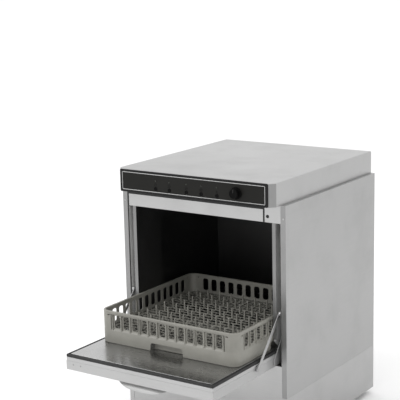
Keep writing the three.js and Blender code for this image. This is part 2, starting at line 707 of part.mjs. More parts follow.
function hingePin(side) {
  return join(
    rod('X', [HINGE_Y, HINGE_Z], PIN_RADIUS, across(side, DOOR_HALF - 1, CABINET_HALF - 4)),
    rod('X', [HINGE_Y, HINGE_Z], 9, across(side, DOOR_HALF - 3, DOOR_HALF)),
  );
}

function doorStay(side) {
  const [y, z] = STAY_PIN;
  const angle = THREE.MathUtils.degToRad(STAY_ANGLE);
  const topEnd = [y + STAY_LENGTH * Math.cos(angle), z + STAY_LENGTH * Math.sin(angle)];
  const outline = [...arc(STAY_PIN, 5.5, STAY_ANGLE + 90, STAY_ANGLE + 270, 6),
    ...arc(topEnd, 5.5, STAY_ANGLE - 90, STAY_ANGLE + 90, 6)];
  return join(
    prism('X', outline, across(side, DOOR_HALF + 4.2, DOOR_HALF + 6.7)),
    rod('X', STAY_PIN, 4, across(side, DOOR_HALF + GAP, DOOR_HALF + 8.5), 12),
    rod('X', topEnd, 7, across(side, DOOR_HALF + 6, DOOR_HALF + 12), 12),
  );
}

// ---------------------------------------------------------------- dish rack
// Square basket: four slotted walls, an open grid floor set above the lower edge, and a
// hand notch in the middle of each lower edge.
function dishRack() {
  const half = RACK_SIZE / 2;
  const centreY = RACK_FRONT + half;
  const z = [RACK_LOW, RACK_LOW + RACK_HEIGHT];
  const outside = prism('Z', roundedRectangle(half, half, RACK_CORNER, 0, centreY), z, 5);
  const within = roundedRectangle(half - RACK_WALL, half - RACK_WALL, RACK_CORNER - RACK_WALL, 0, centreY);
  const upper = prism('Z', within, [RACK_GRID_Z + 4, z[1] + 1], 5);
  const lower = prism('Z', within, [z[0] - 1, RACK_GRID_Z], 5);
  const slotHalf = RACK_SLOT_PITCH * 0.3;
  const slotLow = z[0] + 46;
  const slotHigh = z[1] - 11;
  const tools = [];
  for (let i = 0; i < RACK_SLOTS; i += 1) {
    const u = (i - (RACK_SLOTS - 1) / 2) * RACK_SLOT_PITCH;
    const slot = (middle) => [
      [middle - slotHalf, slotLow + 5], [middle - slotHalf + 5, slotLow], [middle + slotHalf - 5, slotLow],
      [middle + slotHalf, slotLow + 5], [middle + slotHalf, slotHigh - 5], [middle + slotHalf - 5, slotHigh],
      [middle - slotHalf + 5, slotHigh], [middle - slotHalf, slotHigh - 5],
    ];
    tools.push(prism('Y', slot(u), [centreY - half - 5, centreY + half + 5]));
    tools.push(prism('X', slot(centreY + u), [-half - 5, half + 5]));
  }
  const notch = (middle) => [[middle - 61, z[0] - 5], [middle + 61, z[0] - 5], [middle + 56, z[0] + 25],
    [middle - 56, z[0] + 25]];
  tools.push(prism('Y', notch(0), [centreY - half - 5, centreY + half + 5]));
  tools.push(prism('X', notch(centreY), [-half - 5, half + 5]));
  const cells = 5;
  const pitch = 92;
  for (let i = 0; i < cells * cells; i += 1) {
    const x = ((i % cells) - (cells - 1) / 2) * pitch;
    const y = centreY + (Math.floor(i / cells) - (cells - 1) / 2) * pitch;
    const reach = pitch / 2 - 4;
    tools.push(block([x - reach, x + reach], [y - reach, y + reach], [RACK_GRID_Z - 1, RACK_GRID_Z + 5]));
  }
  return cut(outside, upper, lower, ...tools);
}

// ---------------------------------------------------------------- assembly
add('base_tray', baseTray(), STEEL);
add('foot_front_left', foot(-255, -225), BLACK_PLASTIC);
add('foot_front_right', foot(255, -225), BLACK_PLASTIC);
add('foot_rear_left', foot(-255, 272), BLACK_PLASTIC);
add('foot_rear_right', foot(255, 272), BLACK_PLASTIC);
add('base_skirt', baseSkirt(), STEEL);
add('side_panel_left', sidePanel(-1), STEEL);
add('side_panel_right', sidePanel(1), STEEL);
add('lower_front_panel', lowerFrontPanel(), STEEL);
add('upper_front_panel', upperFrontPanel(), STEEL);
add('door_sensor', doorSensor(), BLACK_PLASTIC);
add('rear_panel', rearPanel(), STEEL);
add('top_cover', topCover(), STEEL);
add('console_bezel', consoleBezel(), BLACK_PLASTIC);
add('fascia_panel', fasciaPanel(), BLACK_PLASTIC);
KEY_X.forEach((x, i) => add(`push_key_${i + 1}`, pushKey(x), BLACK_PLASTIC));
add('pilot_light_bar', pilotLightBar(), LENS);
add('control_board', controlBoard(), BOARD);
add('selector_knob', selectorKnob(), BLACK_PLASTIC);
add('selector_switch', selectorSwitch(), GREY_PLASTIC);
add('wash_chamber', washChamber(), DARK_STEEL);
add('wash_tank', washTank(), DARK_STEEL);
add('rack_guide', rackGuide(), DARK_STEEL);
add('tank_filter', tankFilter(), DARK_STEEL);
add('sump_filter', sumpFilter(), GREY_PLASTIC);
add('overflow_standpipe', overflowStandpipe(), GREY_PLASTIC);
add('tank_heater', tankHeater(), DARK_STEEL);
add('lower_spindle', lowerSpindle(), DARK_STEEL);
add('wash_arm_lower', turningArm([240, 253], 26, 228, 24, 13), DARK_STEEL);
add('rinse_arm_lower', turningArm([256, 265], 18, 218, 11, 6), DARK_STEEL);
add('upper_spindle', upperSpindle(), DARK_STEEL);
add('wash_arm_upper', turningArm([676, 690], 26, 228, 24, 13), DARK_STEEL);
add('rinse_arm_upper', turningArm([695, 704], 18, 218, 11, 6), DARK_STEEL);
add('pump_motor', pumpMotor(), CAST_METAL);
add('pump_rotor', pumpRotor(), CAST_METAL);
add('pump_volute', pumpVolute(), BLACK_PLASTIC);
add('wash_feed_pipe', washFeedPipe(), RUBBER);
add('wash_riser_pipe', washRiserPipe(), RUBBER);
add('rinse_hose', rinseHose(), RUBBER);
add('drain_pipe', drainPipe(), GREY_PLASTIC);
add('rinse_boiler', rinseBoiler(), STEEL);
add('inlet_valve', inletValve(), GREY_PLASTIC);
add('pressure_switch', pressureSwitch(), GREY_PLASTIC);
add('power_contactor', powerContactor(), BLACK_PLASTIC);
add('cable_gland', cableGland(), BLACK_PLASTIC);
add('door_outer_skin', doorOuterSkin(), STEEL);
add('door_inner_skin', doorInnerSkin(), STEEL);
add('door_seal', doorSeal(), RUBBER);
add('door_handle', doorHandle(), STEEL);
add('hinge_arm_left', hingeArm(-1), CAST_METAL);
add('hinge_arm_right', hingeArm(1), CAST_METAL);
add('hinge_pin_left', hingePin(-1), CAST_METAL);
add('hinge_pin_right', hingePin(1), CAST_METAL);
add('door_stay_left', doorStay(-1), STEEL);
add('door_stay_right', doorStay(1), STEEL);
add('dish_rack', dishRack(), RACK_PLASTIC);

export default dishwasher;
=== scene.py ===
import json
import math

import bmesh
import bpy
from mathutils import Matrix, Quaternion, Vector


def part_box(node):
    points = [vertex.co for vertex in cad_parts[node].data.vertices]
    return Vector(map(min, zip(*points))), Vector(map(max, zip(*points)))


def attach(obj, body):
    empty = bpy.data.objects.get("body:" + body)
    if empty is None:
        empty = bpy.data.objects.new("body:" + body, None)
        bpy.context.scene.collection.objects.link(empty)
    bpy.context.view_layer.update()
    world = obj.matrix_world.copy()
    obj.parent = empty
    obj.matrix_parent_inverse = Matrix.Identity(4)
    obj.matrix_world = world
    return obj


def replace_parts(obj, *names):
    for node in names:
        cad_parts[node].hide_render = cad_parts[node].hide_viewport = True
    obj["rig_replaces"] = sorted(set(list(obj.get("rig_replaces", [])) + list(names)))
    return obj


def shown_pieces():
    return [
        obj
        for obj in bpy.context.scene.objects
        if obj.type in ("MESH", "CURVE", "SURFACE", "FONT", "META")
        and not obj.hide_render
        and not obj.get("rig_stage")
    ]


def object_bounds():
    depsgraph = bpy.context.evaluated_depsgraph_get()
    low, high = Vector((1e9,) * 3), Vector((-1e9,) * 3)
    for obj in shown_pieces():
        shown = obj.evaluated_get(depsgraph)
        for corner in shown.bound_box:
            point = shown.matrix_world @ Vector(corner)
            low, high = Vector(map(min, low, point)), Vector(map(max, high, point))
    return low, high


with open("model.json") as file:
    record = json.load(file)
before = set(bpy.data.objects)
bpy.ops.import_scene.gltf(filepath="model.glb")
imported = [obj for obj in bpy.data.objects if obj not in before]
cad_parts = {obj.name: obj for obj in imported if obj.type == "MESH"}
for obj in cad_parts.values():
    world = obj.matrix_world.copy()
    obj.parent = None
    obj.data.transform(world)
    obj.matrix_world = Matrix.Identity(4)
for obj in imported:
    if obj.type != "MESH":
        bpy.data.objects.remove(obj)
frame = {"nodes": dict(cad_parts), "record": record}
cad_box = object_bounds()

MM = 0.001
SHEET = 1.5 * MM
KEYS = 5
AXIS = 0.0001  # radius that closes a turned profile on its axis
SMOOTH_ANGLE = 35  # degrees: sharper edges stay creased, and soften() rounds them
CAD_SMOOTH_ANGLE = 28
FLAT_ANGLE = 1.5
MERGE_DISTANCE = 1e-6
CAD_MERGE_DISTANCE = 2e-6
SLOT_OF = {row["node"]: row["material_slot"] for row in frame["record"]["subparts"]}
BODY_OF = {
    node: body for body, nodes in frame["record"]["behaviour"]["bodies"].items() for node in nodes
}


# ---------------------------------------------------------------- materials
class Graph:
    """A material's node tree, with short calls for the nodes used here."""

    def __init__(self, name):
        self.material = bpy.data.materials.new(name)
        self.material.use_nodes = True
        self.tree = self.material.node_tree
        self.shader = self.tree.nodes["Principled BSDF"]
        self.place = self.tree.nodes.new("ShaderNodeTexCoord").outputs["Object"]

    def put(self, socket, value):
        if isinstance(value, bpy.types.NodeSocket):
            self.tree.links.new(value, socket)
        else:
            socket.default_value = value

    def node(self, kind, inputs=None, **settings):
        made = self.tree.nodes.new(kind)
        for name, value in settings.items():
            setattr(made, name, value)
        for name, value in (inputs or {}).items():
            self.put(made.inputs[name], value)
        return made

    def stretched(self, scale):
        return self.node("ShaderNodeMapping", {"Vector": self.place, "Scale": scale}).outputs["Vector"]

    def noise(self, scale, detail=3.0, stretch=(1, 1, 1), roughness=0.5):
        inputs = {
            "Vector": self.stretched(stretch), "Scale": scale, "Detail": detail, "Roughness": roughness,
        }
        return self.node("ShaderNodeTexNoise", inputs).outputs["Fac"]

    def between(self, value, low, high, out_low=0.0, out_high=1.0):
        inputs = {
            "Value": value, "From Min": low, "From Max": high, "To Min": out_low, "To Max": out_high,
        }
        return self.node("ShaderNodeMapRange", inputs, clamp=True).outputs["Result"]

    def blend(self, amount, first, second):
        made = self.node("ShaderNodeMix", data_type="RGBA")
        self.put(made.inputs[0], amount)
        self.put(made.inputs[6], first)
        self.put(made.inputs[7], second)
        return made.outputs[2]

    def sum(self, a, b):
        made = self.node("ShaderNodeMath", operation="ADD")
        self.put(made.inputs[0], a)
        self.put(made.inputs[1], b)
        return made.outputs[0]

    def worn_edges(self, radius, amount):
        """1 on sharp edges and 0 on flat faces, from how far a rounded normal leans."""
        rounded = self.node("ShaderNodeBevel", {"Radius": radius}, samples=4).outputs["Normal"]
        flat = self.node("ShaderNodeNewGeometry").outputs["Normal"]
        lean = self.node("ShaderNodeVectorMath", operation="DOT_PRODUCT")
        self.put(lean.inputs[0], rounded)
        self.put(lean.inputs[1], flat)
        return self.between(lean.outputs["Value"], 0.995, 0.85, 0.0, amount)

    def bump(self, height, strength, distance):
        made = self.node("ShaderNodeBump", {"Height": height, "Strength": strength, "Distance": distance})
        self.put(self.shader.inputs["Normal"], made.outputs["Normal"])

    def set(self, **values):
        for name, value in values.items():
            self.put(self.shader.inputs[name.replace("_", " ")], value)


def grey(level, warm=0.0):
    return (level * (1 + 0.2 * warm), level, level * (1 - warm), 1)


def brushed_steel(name, level, roughness, along, grime=0.12):
    """Satin sheet: fine lines along one axis, soft smudges and a little wear at the folds."""
    g = Graph(name)
    across_grain, along_grain = 900.0, 6.0
    fine = [across_grain] * 3
    fine["xyz".index(along)] = along_grain
    lines = g.noise(1.0, 4.0, tuple(fine), 0.65)
    streaks = g.noise(0.16, 2.0, tuple(fine), 0.5)
    smudge = g.noise(7.0, 5.0, roughness=0.6)
    water = g.noise(38.0, 3.0, roughness=0.7)
    base = g.blend(g.between(lines, 0.3, 0.7), grey(level * 0.93, 0.004), grey(level * 1.04, 0.004))
    base = g.blend(g.between(streaks, 0.35, 0.75, 0.0, 0.5), base, grey(level * 0.97, -0.004))
    base = g.blend(g.between(smudge, 0.52, 0.78, 0.0, grime), base, grey(level * 0.72, 0.02))
    base = g.blend(g.worn_edges(1.2 * MM, 0.6), base, grey(min(1.0, level * 1.18)))
    rough = g.between(lines, 0.25, 0.75, roughness - 0.05, roughness + 0.07)
    rough = g.sum(rough, g.between(smudge, 0.45, 0.75, -0.02, 0.09))
    rough = g.sum(rough, g.between(water, 0.62, 0.75, 0.0, 0.05))
    g.set(Base_Color=base, Roughness=rough, Metallic=1.0, Anisotropic=0.45)
    g.bump(lines, 0.35, 0.00003)
    return g.material


def moulded(name, level, roughness, warm=0.0, grain=900.0, wear=0.5, depth=0.00006, metallic=0.0, shine=0.5):
    """Moulded or cast surface: fine grain, uneven shine and lighter worn edges."""
    g = Graph(name)
    texture = g.noise(grain, 3.0, roughness=0.6)
    patches = g.noise(14.0, 4.0, roughness=0.6)
    dust = g.noise(120.0, 4.0, roughness=0.7)
    base = g.blend(g.between(patches, 0.35, 0.7), grey(level * 0.9, warm), grey(level * 1.08, warm))
    base = g.blend(g.between(dust, 0.6, 0.8, 0.0, 0.18), base, grey(level * 1.35 + 0.01, warm))
    base = g.blend(g.worn_edges(0.9 * MM, wear), base, grey(level * 1.5 + 0.02, warm))
    rough = g.sum(g.between(patches, 0.3, 0.75, roughness - 0.05, roughness + 0.08),
                  g.between(dust, 0.55, 0.8, 0.0, 0.1))
    g.set(Base_Color=base, Roughness=rough, Metallic=metallic, Specular_IOR_Level=shine)
    g.bump(texture, 0.35, depth)
    return g.material


def perforated(name, level):
    """Filter sheet: rows of small punched holes, drawn dark and pressed in."""
    g = Graph(name)
    cells = g.node("ShaderNodeTexVoronoi", {
        "Vector": g.place, "Scale": 170.0, "Randomness": 0.0,
    }).outputs["Distance"]
    hole = g.between(cells, 0.26, 0.32, 1.0, 0.0)
    grime = g.noise(24.0, 4.0)
    base = g.blend(g.between(grime, 0.4, 0.7), grey(level * 0.85), grey(level))
    g.set(Base_Color=g.blend(hole, base, grey(0.004)), Metallic=g.between(hole, 0, 1, 0.9, 0.0),
          Roughness=g.between(grime, 0.3, 0.7, 0.36, 0.5))
    g.bump(g.between(cells, 0.24, 0.34), 0.8, 0.0006)
    return g.material


def circuit_board(name):
    """Solder mask with rows of pads and traces."""
    g = Graph(name)
    tracks = g.node("ShaderNodeTexVoronoi", {
        "Vector": g.place, "Scale": 260.0, "Randomness": 0.35,
    }, distance="CHEBYCHEV").outputs["Distance"]
    cloud = g.noise(60.0, 3.0)
    base = g.blend(g.between(cloud, 0.4, 0.6), (0.012, 0.075, 0.03, 1), (0.02, 0.11, 0.045, 1))
    base = g.blend(g.between(tracks, 0.42, 0.46), base, (0.04, 0.2, 0.09, 1))
    g.set(Base_Color=base, Roughness=g.between(cloud, 0.3, 0.7, 0.3, 0.45))
    g.bump(tracks, 0.4, 0.0001)
    return g.material


def clear_lens(name):
    """Unlit light guide: dark, faintly green and a little cloudy."""
    g = Graph(name)
    cloud = g.noise(240.0, 2.0)
    g.set(Base_Color=g.blend(cloud, (0.02, 0.026, 0.019, 1), (0.035, 0.045, 0.03, 1)),
          Roughness=g.between(cloud, 0.3, 0.7, 0.12, 0.3), Transmission_Weight=0.3)
    g.bump(cloud, 0.2, 0.00005)
    return g.material


def plain_ground(name):
    """Matt pale floor with the least unevenness."""
    g = Graph(name)
    cloud = g.noise(1.6, 3.0)
    g.set(Base_Color=g.blend(cloud, grey(0.93), grey(0.96)), Roughness=g.between(cloud, 0.3, 0.7, 0.8, 0.95))
    return g.material


LOOK = {
    "steel_x": brushed_steel("steel brushed across", 0.46, 0.38, "x"),
    "steel_y": brushed_steel("steel brushed front to back", 0.42, 0.40, "y"),
    # painted shade: a darker steel for the side panels' front faces, which stand back in shade
    "steel_post_painted_shade": brushed_steel("steel brushed upright painted shade", 0.30, 0.40, "z"),
    # painted shade: a darker steel for the cover's cut front corner, which faces away from the light
    "steel_corner_painted_shade": brushed_steel("steel cover corner painted shade", 0.30, 0.42, "z"),
    # painted shade: a darker steel for the chamber's jamb fronts, which stand back in shade
    "steel_jamb_painted_shade": brushed_steel("steel door jamb painted shade", 0.26, 0.42, "z"),
    "steel_door_inside": brushed_steel("steel door lining", 0.46, 0.27, "x", grime=0.2),
    # painted shade: the chamber's steel is made very dark, to stand for the shade inside the chamber
    "chamber": brushed_steel("steel wash chamber painted shade", 0.085, 0.42, "x", grime=0.3),
    # painted light: a bright matt steel that lights up the deep channels beside the chamber, where little
    # light reaches
    "channel": moulded("steel channel painted light", 0.62, 0.6, 0.01, grain=1200.0, wear=0.2, metallic=0.15),
    "arm": brushed_steel("steel spray arm", 0.30, 0.34, "x"),
    "black": moulded("plastic black", 0.011, 0.36, shine=0.35),
    "rim": moulded("plastic console rim", 0.006, 0.35, wear=0.25, shine=0.2),
    "fascia": moulded("film over console", 0.0115, 0.38, 0.1, grain=1600.0, wear=0.15, depth=0.00003,
                      shine=0.12),
    "print": moulded("ink black", 0.003, 0.6, grain=2000.0, wear=0.0, shine=0.05),
    "mark": moulded("ink grey", 0.04, 0.5, grain=2000.0, wear=0.0, shine=0.1),
    "knob": moulded("plastic knob", 0.003, 0.5, wear=0.35, shine=0.06),
    "rubber": moulded("rubber black", 0.010, 0.6, grain=500.0, wear=0.2, depth=0.0001),
    "rack": moulded("plastic rack", 0.235, 0.45, 0.11, grain=700.0, wear=0.35, depth=0.0001),
    "grey_plastic": moulded("plastic grey", 0.30, 0.42, grain=700.0, wear=0.3),
    "cast": moulded("metal cast", 0.42, 0.45, grain=1100.0, wear=0.4, depth=0.00012, metallic=0.85),
    "mesh": perforated("steel filter sheet", 0.3),
    "board": circuit_board("board green"),
    "lens": clear_lens("lens clear"),
}
# look of the nodes in each slot, unless another look is named for them
LOOK_OF_SLOT = {
    "steel": "steel_x", "chamber_steel": "chamber", "black_plastic": "black", "fascia": "fascia",
    "rubber": "rubber", "rack_plastic": "rack", "grey_plastic": "grey_plastic", "cast_metal": "cast",
    "lens": "lens", "circuit_board": "board",
}


# ---------------------------------------------------------------- mesh helpers
def new_object(name, mesh):
    obj = bpy.data.objects.new(name, mesh)
    bpy.context.collection.objects.link(obj)
    return obj


def from_bmesh(name, bm, smooth_angle=SMOOTH_ANGLE):
    bmesh.ops.remove_doubles(bm, verts=bm.verts, dist=MERGE_DISTANCE)
    bmesh.ops.recalc_face_normals(bm, faces=bm.faces)
    mesh = bpy.data.meshes.new(name)
    bm.to_mesh(mesh)
    bm.free()
    mesh.shade_smooth()
    mesh.set_sharp_from_angle(angle=math.radians(smooth_angle))
    return new_object(name, mesh)


def skin(name, rings, closed_path=False, smooth_angle=SMOOTH_ANGLE):
    """Surface through a list of closed loops with the same number of points, closed at both ends."""
    bm = bmesh.new()
    made = [[bm.verts.new(p) for p in ring] for ring in rings]
    pairs = list(zip(made, made[1:]))
    if closed_path:
        pairs.append((made[-1], made[0]))
    for a, b in pairs:
        for i in range(len(a)):
            j = (i + 1) % len(a)
            bm.faces.new((a[i], a[j], b[j], b[i]))
    if not closed_path:
        bm.faces.new(list(reversed(made[0])))
        bm.faces.new(made[-1])
    return from_bmesh(name, bm, smooth_angle)


def on_axis(axis, u, v, w):
    """A point from two coordinates across an axis and one along it."""
    return {"X": Vector((w, u, v)), "Y": Vector((u, w, v)), "Z": Vector((u, v, w))}[axis]


def turned(name, axis, centre, profile, sides=48, smooth_angle=SMOOTH_ANGLE):
    """Body of revolution: profile holds (radius, place along the axis)."""
    rings = []
    for radius, w in profile:
        ring = []
        for i in range(sides):
            t = 2 * math.pi * i / sides
            ring.append(on_axis(axis, centre[0] + radius * math.cos(t), centre[1] + radius * math.sin(t), w))
        rings.append(ring)
    return skin(name, rings, smooth_angle=smooth_angle)


def prism(name, axis, outline, span):
    """An outline across an axis, carried along it from the first end of span to the other."""
    rings = [[on_axis(axis, u, v, w) for u, v in outline] for w in span]
    return skin(name, rings)


def arc(centre, radius, start, end, steps):
    """Points of an arc between two angles in degrees, both ends included."""
    points = []
    for i in range(steps + 1):
        t = math.radians(start + (end - start) * i / steps)
        points.append((centre[0] + radius * math.cos(t), centre[1] + radius * math.sin(t)))
    return points


def rounded_outline(low, high, radius, steps=6):
    (x0, y0), (x1, y1) = low, high
    return (arc((x1 - radius, y1 - radius), radius, 0, 90, steps)
            + arc((x0 + radius, y1 - radius), radius, 90, 180, steps)
            + arc((x0 + radius, y0 + radius), radius, 180, 270, steps)
            + arc((x1 - radius, y0 + radius), radius, 270, 360, steps))


def block(name, low, high):
    outline = [(low[0], low[1]), (high[0], low[1]), (high[0], high[1]), (low[0], high[1])]
    return prism(name, "Z", outline, (low[2], high[2]))


def soften(obj, width, segments=2, angle=SMOOTH_ANGLE):
    """Rounds the edges sharper than angle, by a modifier that stays on the object."""
    bevel = obj.modifiers.new("bevel", "BEVEL")
    bevel.width = width
    bevel.segments = segments
    bevel.limit_method = "ANGLE"
    bevel.angle_limit = math.radians(angle)
    bevel.harden_normals = True
    return obj


def applied(obj):
    """The object with its modifiers made part of its mesh."""
    depsgraph = bpy.context.evaluated_depsgraph_get()
    mesh = bpy.data.meshes.new_from_object(obj.evaluated_get(depsgraph))
    obj.modifiers.clear()
    obj.data = mesh
    return obj


def cut(obj, cutters):
    """Boolean difference, with the cutters joined into one first."""
    tool = joined("cutter", cutters)
    difference = obj.modifiers.new("cut", "BOOLEAN")
    difference.object = tool
    difference.solver = "EXACT"
    bpy.context.view_layer.update()
    applied(obj)
    bpy.data.objects.remove(tool)
    obj.data.shade_smooth()
    obj.data.set_sharp_from_angle(angle=math.radians(SMOOTH_ANGLE))
    return obj


def joined(name, objects):
    """One object in place of several, whose modifiers are applied already."""
    bm = bmesh.new()
    for part in objects:
        bm.from_mesh(part.data)
    mesh = bpy.data.meshes.new(name)
    bm.to_mesh(mesh)
    bm.free()
    for part in objects:
        bpy.data.objects.remove(part)
    mesh.shade_smooth()
    mesh.set_sharp_from_angle(angle=math.radians(SMOOTH_ANGLE))
    return new_object(name, mesh)


def place(obj, look, body="root", replaces=(), slot=None):
    """Gives a finished piece its material, its body and the CAD nodes it stands for."""
    obj.data.materials.clear()
    obj.data.materials.append(LOOK[look])
    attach(obj, body)
    if replaces:
        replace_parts(obj, *replaces)
        slot = slot or SLOT_OF[replaces[0]]
    return obj


def refined(node, look, width, segments=2, is_pierced=None):
    """A CAD node's shape with rounded edges and smooth curves, standing for that node.

    Faces that is_pierced(face) picks go round an opening, and stay split into triangles.
    """
    bm = bmesh.new()
    bm.from_mesh(frame["nodes"][node].data)
    bmesh.ops.remove_doubles(bm, verts=bm.verts, dist=CAD_MERGE_DISTANCE)
    edges = [e for e in bm.edges if not (is_pierced and any(is_pierced(f) for f in e.link_faces))]
    bmesh.ops.dissolve_limit(bm, angle_limit=math.radians(FLAT_ANGLE), verts=[], edges=edges)
    obj = from_bmesh("look_" + node, bm, CAD_SMOOTH_ANGLE)
    if width:
        soften(obj, width, segments, CAD_SMOOTH_ANGLE)
    return place(obj, look, BODY_OF[node], (node,))


def repaint(obj, look, chosen):
    """Gives the faces that chosen(centre, normal) picks another material."""
    obj.data.materials.append(LOOK[look])
    index = len(obj.data.materials) - 1
    for face in obj.data.polygons:
        if chosen(face.center, face.normal):
            face.material_index = index
    return obj


def middle(node):
    """The middle of a CAD node's box."""
    low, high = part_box(node)
    return (low + high) / 2


def screw(name, axis, centre, face, outward, radius=3.6 * MM, height=1.1 * MM):
    """Pan-head screw with a cross recess. face is the surface it sits on along its axis."""
    s = outward
    profile = [(AXIS, face - s * 0.4 * MM), (radius, face - s * 0.4 * MM), (radius, face + s * 0.15 * MM),
               (radius * 0.86, face + s * height * 0.7), (radius * 0.5, face + s * height),
               (AXIS, face + s * height)]
    head = turned(name, axis, centre, profile, 20, 50)
    bars = []
    for wide, tall in ((radius * 0.62, radius * 0.14), (radius * 0.14, radius * 0.62)):
        outline = [(centre[0] - wide, centre[1] - tall), (centre[0] + wide, centre[1] - tall),
                   (centre[0] + wide, centre[1] + tall), (centre[0] - wide, centre[1] + tall)]
        span = sorted((face + s * height * 0.35, face + s * height * 1.6))
        bars.append(prism("bar", axis, outline, span))
    for bar in bars:
        cut(head, [bar])
    place(head, "steel_x", slot="steel")


# ---------------------------------------------------------------- camera, light and ground
CAMERA_AT = Vector((2.0391, -3.1083, 1.5169))
CAMERA_YAW = 34.398
CAMERA_PITCH = 11.890
CAMERA_ROLL = -1.317
CAMERA_LENS = 108.54
CAMERA_SENSOR = 36
WORLD_LIGHT = 1.08


def make_camera():
    yaw, pitch = math.radians(CAMERA_YAW), math.radians(CAMERA_PITCH)
    forward = Vector((-math.sin(yaw) * math.cos(pitch), math.cos(yaw) * math.cos(pitch), -math.sin(pitch)))
    data = bpy.data.cameras.new("camera")
    data.sensor_width = CAMERA_SENSOR
    data.lens = CAMERA_LENS
    data.clip_end = 50
    camera = bpy.data.objects.new("camera", data)
    bpy.context.collection.objects.link(camera)
    camera.location = CAMERA_AT
    camera.rotation_mode = "QUATERNION"
    camera.rotation_quaternion = (forward.to_track_quat("-Z", "Y")
                                  @ Quaternion((0, 0, 1), math.radians(CAMERA_ROLL)))
    bpy.context.scene.camera = camera


def soft_light(name, at, target, size, power):
    data = bpy.data.lights.new(name, "AREA")
    data.shape = "SQUARE"
    data.size = size
    data.energy = power
    light = bpy.data.objects.new(name, data)
    bpy.context.collection.objects.link(light)
    light.location = at
    light.rotation_mode = "QUATERNION"
    light.rotation_quaternion = (Vector(target) - Vector(at)).to_track_quat("-Z", "Y")


def make_surroundings():
    """Even white world, two soft lights and a pale floor."""
    world = bpy.data.worlds.new("studio")
    bpy.context.scene.world = world
    world.use_nodes = True
    background = world.node_tree.nodes["Background"]
    background.inputs["Color"].default_value = (1, 1, 1, 1)
    background.inputs["Strength"].default_value = WORLD_LIGHT
    centre = (cad_box[0] + cad_box[1]) / 2
    soft_light("key light", (-2.2, -2.6, 3.4), centre, 2.6, 60)
    soft_light("top light", (0.4, 0.6, 3.6), centre, 5.0, 14)
    ground = bmesh.new()
    bmesh.ops.create_grid(ground, x_segments=2, y_segments=2, size=30)
    floor = from_bmesh("floor", ground)
    floor.data.materials.append(plain_ground("ground"))
    floor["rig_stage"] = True
    bpy.context.scene.view_settings.view_transform = "Standard"


# ---------------------------------------------------------------- top cover
FOLD = 3.5 * MM
FOLD_STEPS = 6
COVER_CORNER = 17 * MM
COVER_CHAMFER = 18 * MM


def cover_ring(low, high, inset, z):
    """The cover's outline at one height: a rectangle with its two front corners cut off."""
    x0, y0, x1, y1 = low.x + inset, low.y + inset, high.x - inset, high.y - inset
    c = COVER_CORNER + inset * 0.4
    outline = [(x0 + c, y0), (x1 - c, y0), (x1, y0 + COVER_CHAMFER), (x1, y1), (x0, y1),
               (x0, y0 + COVER_CHAMFER)]
    reach = max(0.2 * MM, 2.4 * MM - inset * 0.5)
    softened = []
    for i, here in enumerate(outline):
        before = Vector(outline[i - 1])
        after = Vector(outline[(i + 1) % len(outline)])
        here = Vector(here)
        for t in (0.0, 0.25, 0.5, 0.75, 1.0):
            a = here + (before - here).normalized() * reach
            b = here + (after - here).normalized() * reach
            p = a * (1 - t) ** 2 + here * 2 * t * (1 - t) + b * t ** 2
            softened.append((p.x, p.y, z))
    return softened


def make_cover_edge(side, low, high):
    """Hemmed lower edge of the cover's side wall, turned in under it."""
    radius, inset = 1.05 * MM, 1.1 * MM
    x = (low.x if side < 0 else high.x) - side * inset
    outline = arc((x, low.z + inset), radius, 0, 360, 14)[:-1]
    hem = prism("hem", "Y", outline, (low.y + 22 * MM, high.y - 3 * MM))
    hem.name = "cover_hem_" + ("left" if side < 0 else "right")
    place(hem, "steel_y", slot="steel")


def make_cover():
    """Folded lid with its hems, the flange behind the console and four screws."""
    low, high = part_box("top_cover")
    inner = [cover_ring(low, high, SHEET, z) for z in (high.z - SHEET, low.z)]
    outer = [cover_ring(low, high, 0, z) for z in (low.z, high.z - FOLD)]
    for step in range(1, FOLD_STEPS + 1):
        t = math.radians(90 * step / FOLD_STEPS)
        inset = FOLD * (1 - math.cos(t))
        outer.append(cover_ring(low, high, inset, high.z - FOLD + FOLD * math.sin(t)))
    cover = skin("cover", inner + outer, smooth_angle=40)
    fascia_low, fascia_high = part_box("fascia_panel")
    margin = 20 * MM
    window = block("window", (fascia_low.x + margin, low.y - 5 * MM, fascia_low.z - 1 * MM),
                   (fascia_high.x - margin, low.y + 8 * MM, fascia_high.z + 1 * MM))
    cut(cover, [window])
    place(cover, "steel_x", replaces=("top_cover",))
    # painted shade on the cover's right front corner: faces leaning right and forward get the darker steel
    repaint(cover, "steel_corner_painted_shade", lambda c, n: n.x > 0.45 and n.y < -0.45)
    for edge in (-1, 1):
        make_cover_edge(edge, low, high)
    flange = block("cover_underside", (low.x + 20 * MM, low.y + 1 * MM, low.z + 1 * MM),
                   (high.x - 20 * MM, low.y + 55 * MM, low.z + 1 * MM + SHEET))
    place(soften(flange, 0.4 * MM), "steel_x", slot="steel")
    proud = 0.9 * MM
    for side, x in ((-1, low.x), (1, high.x)):
        for y in (low.y + 220 * MM, high.y - 80 * MM):
            name = f"cover_screw_{side}_{y:.2f}".replace("-", "l")
            screw(name, "X", (y, low.z + 14 * MM), x - side * proud, side, height=proud)


# ---------------------------------------------------------------- console
def framed_plate(name, low, high, hole_low, hole_high, radius, hole_radius):
    """Plate in the X-Z plane with rounded corners and one rounded window."""
    plate = prism(name, "Y", rounded_outline((low.x, low.z), (high.x, high.z), radius), (low.y, high.y))
    window = prism("window", "Y", rounded_outline(hole_low, hole_high, hole_radius),
                   (low.y - 5 * MM, high.y + 5 * MM))
    return cut(plate, [window])


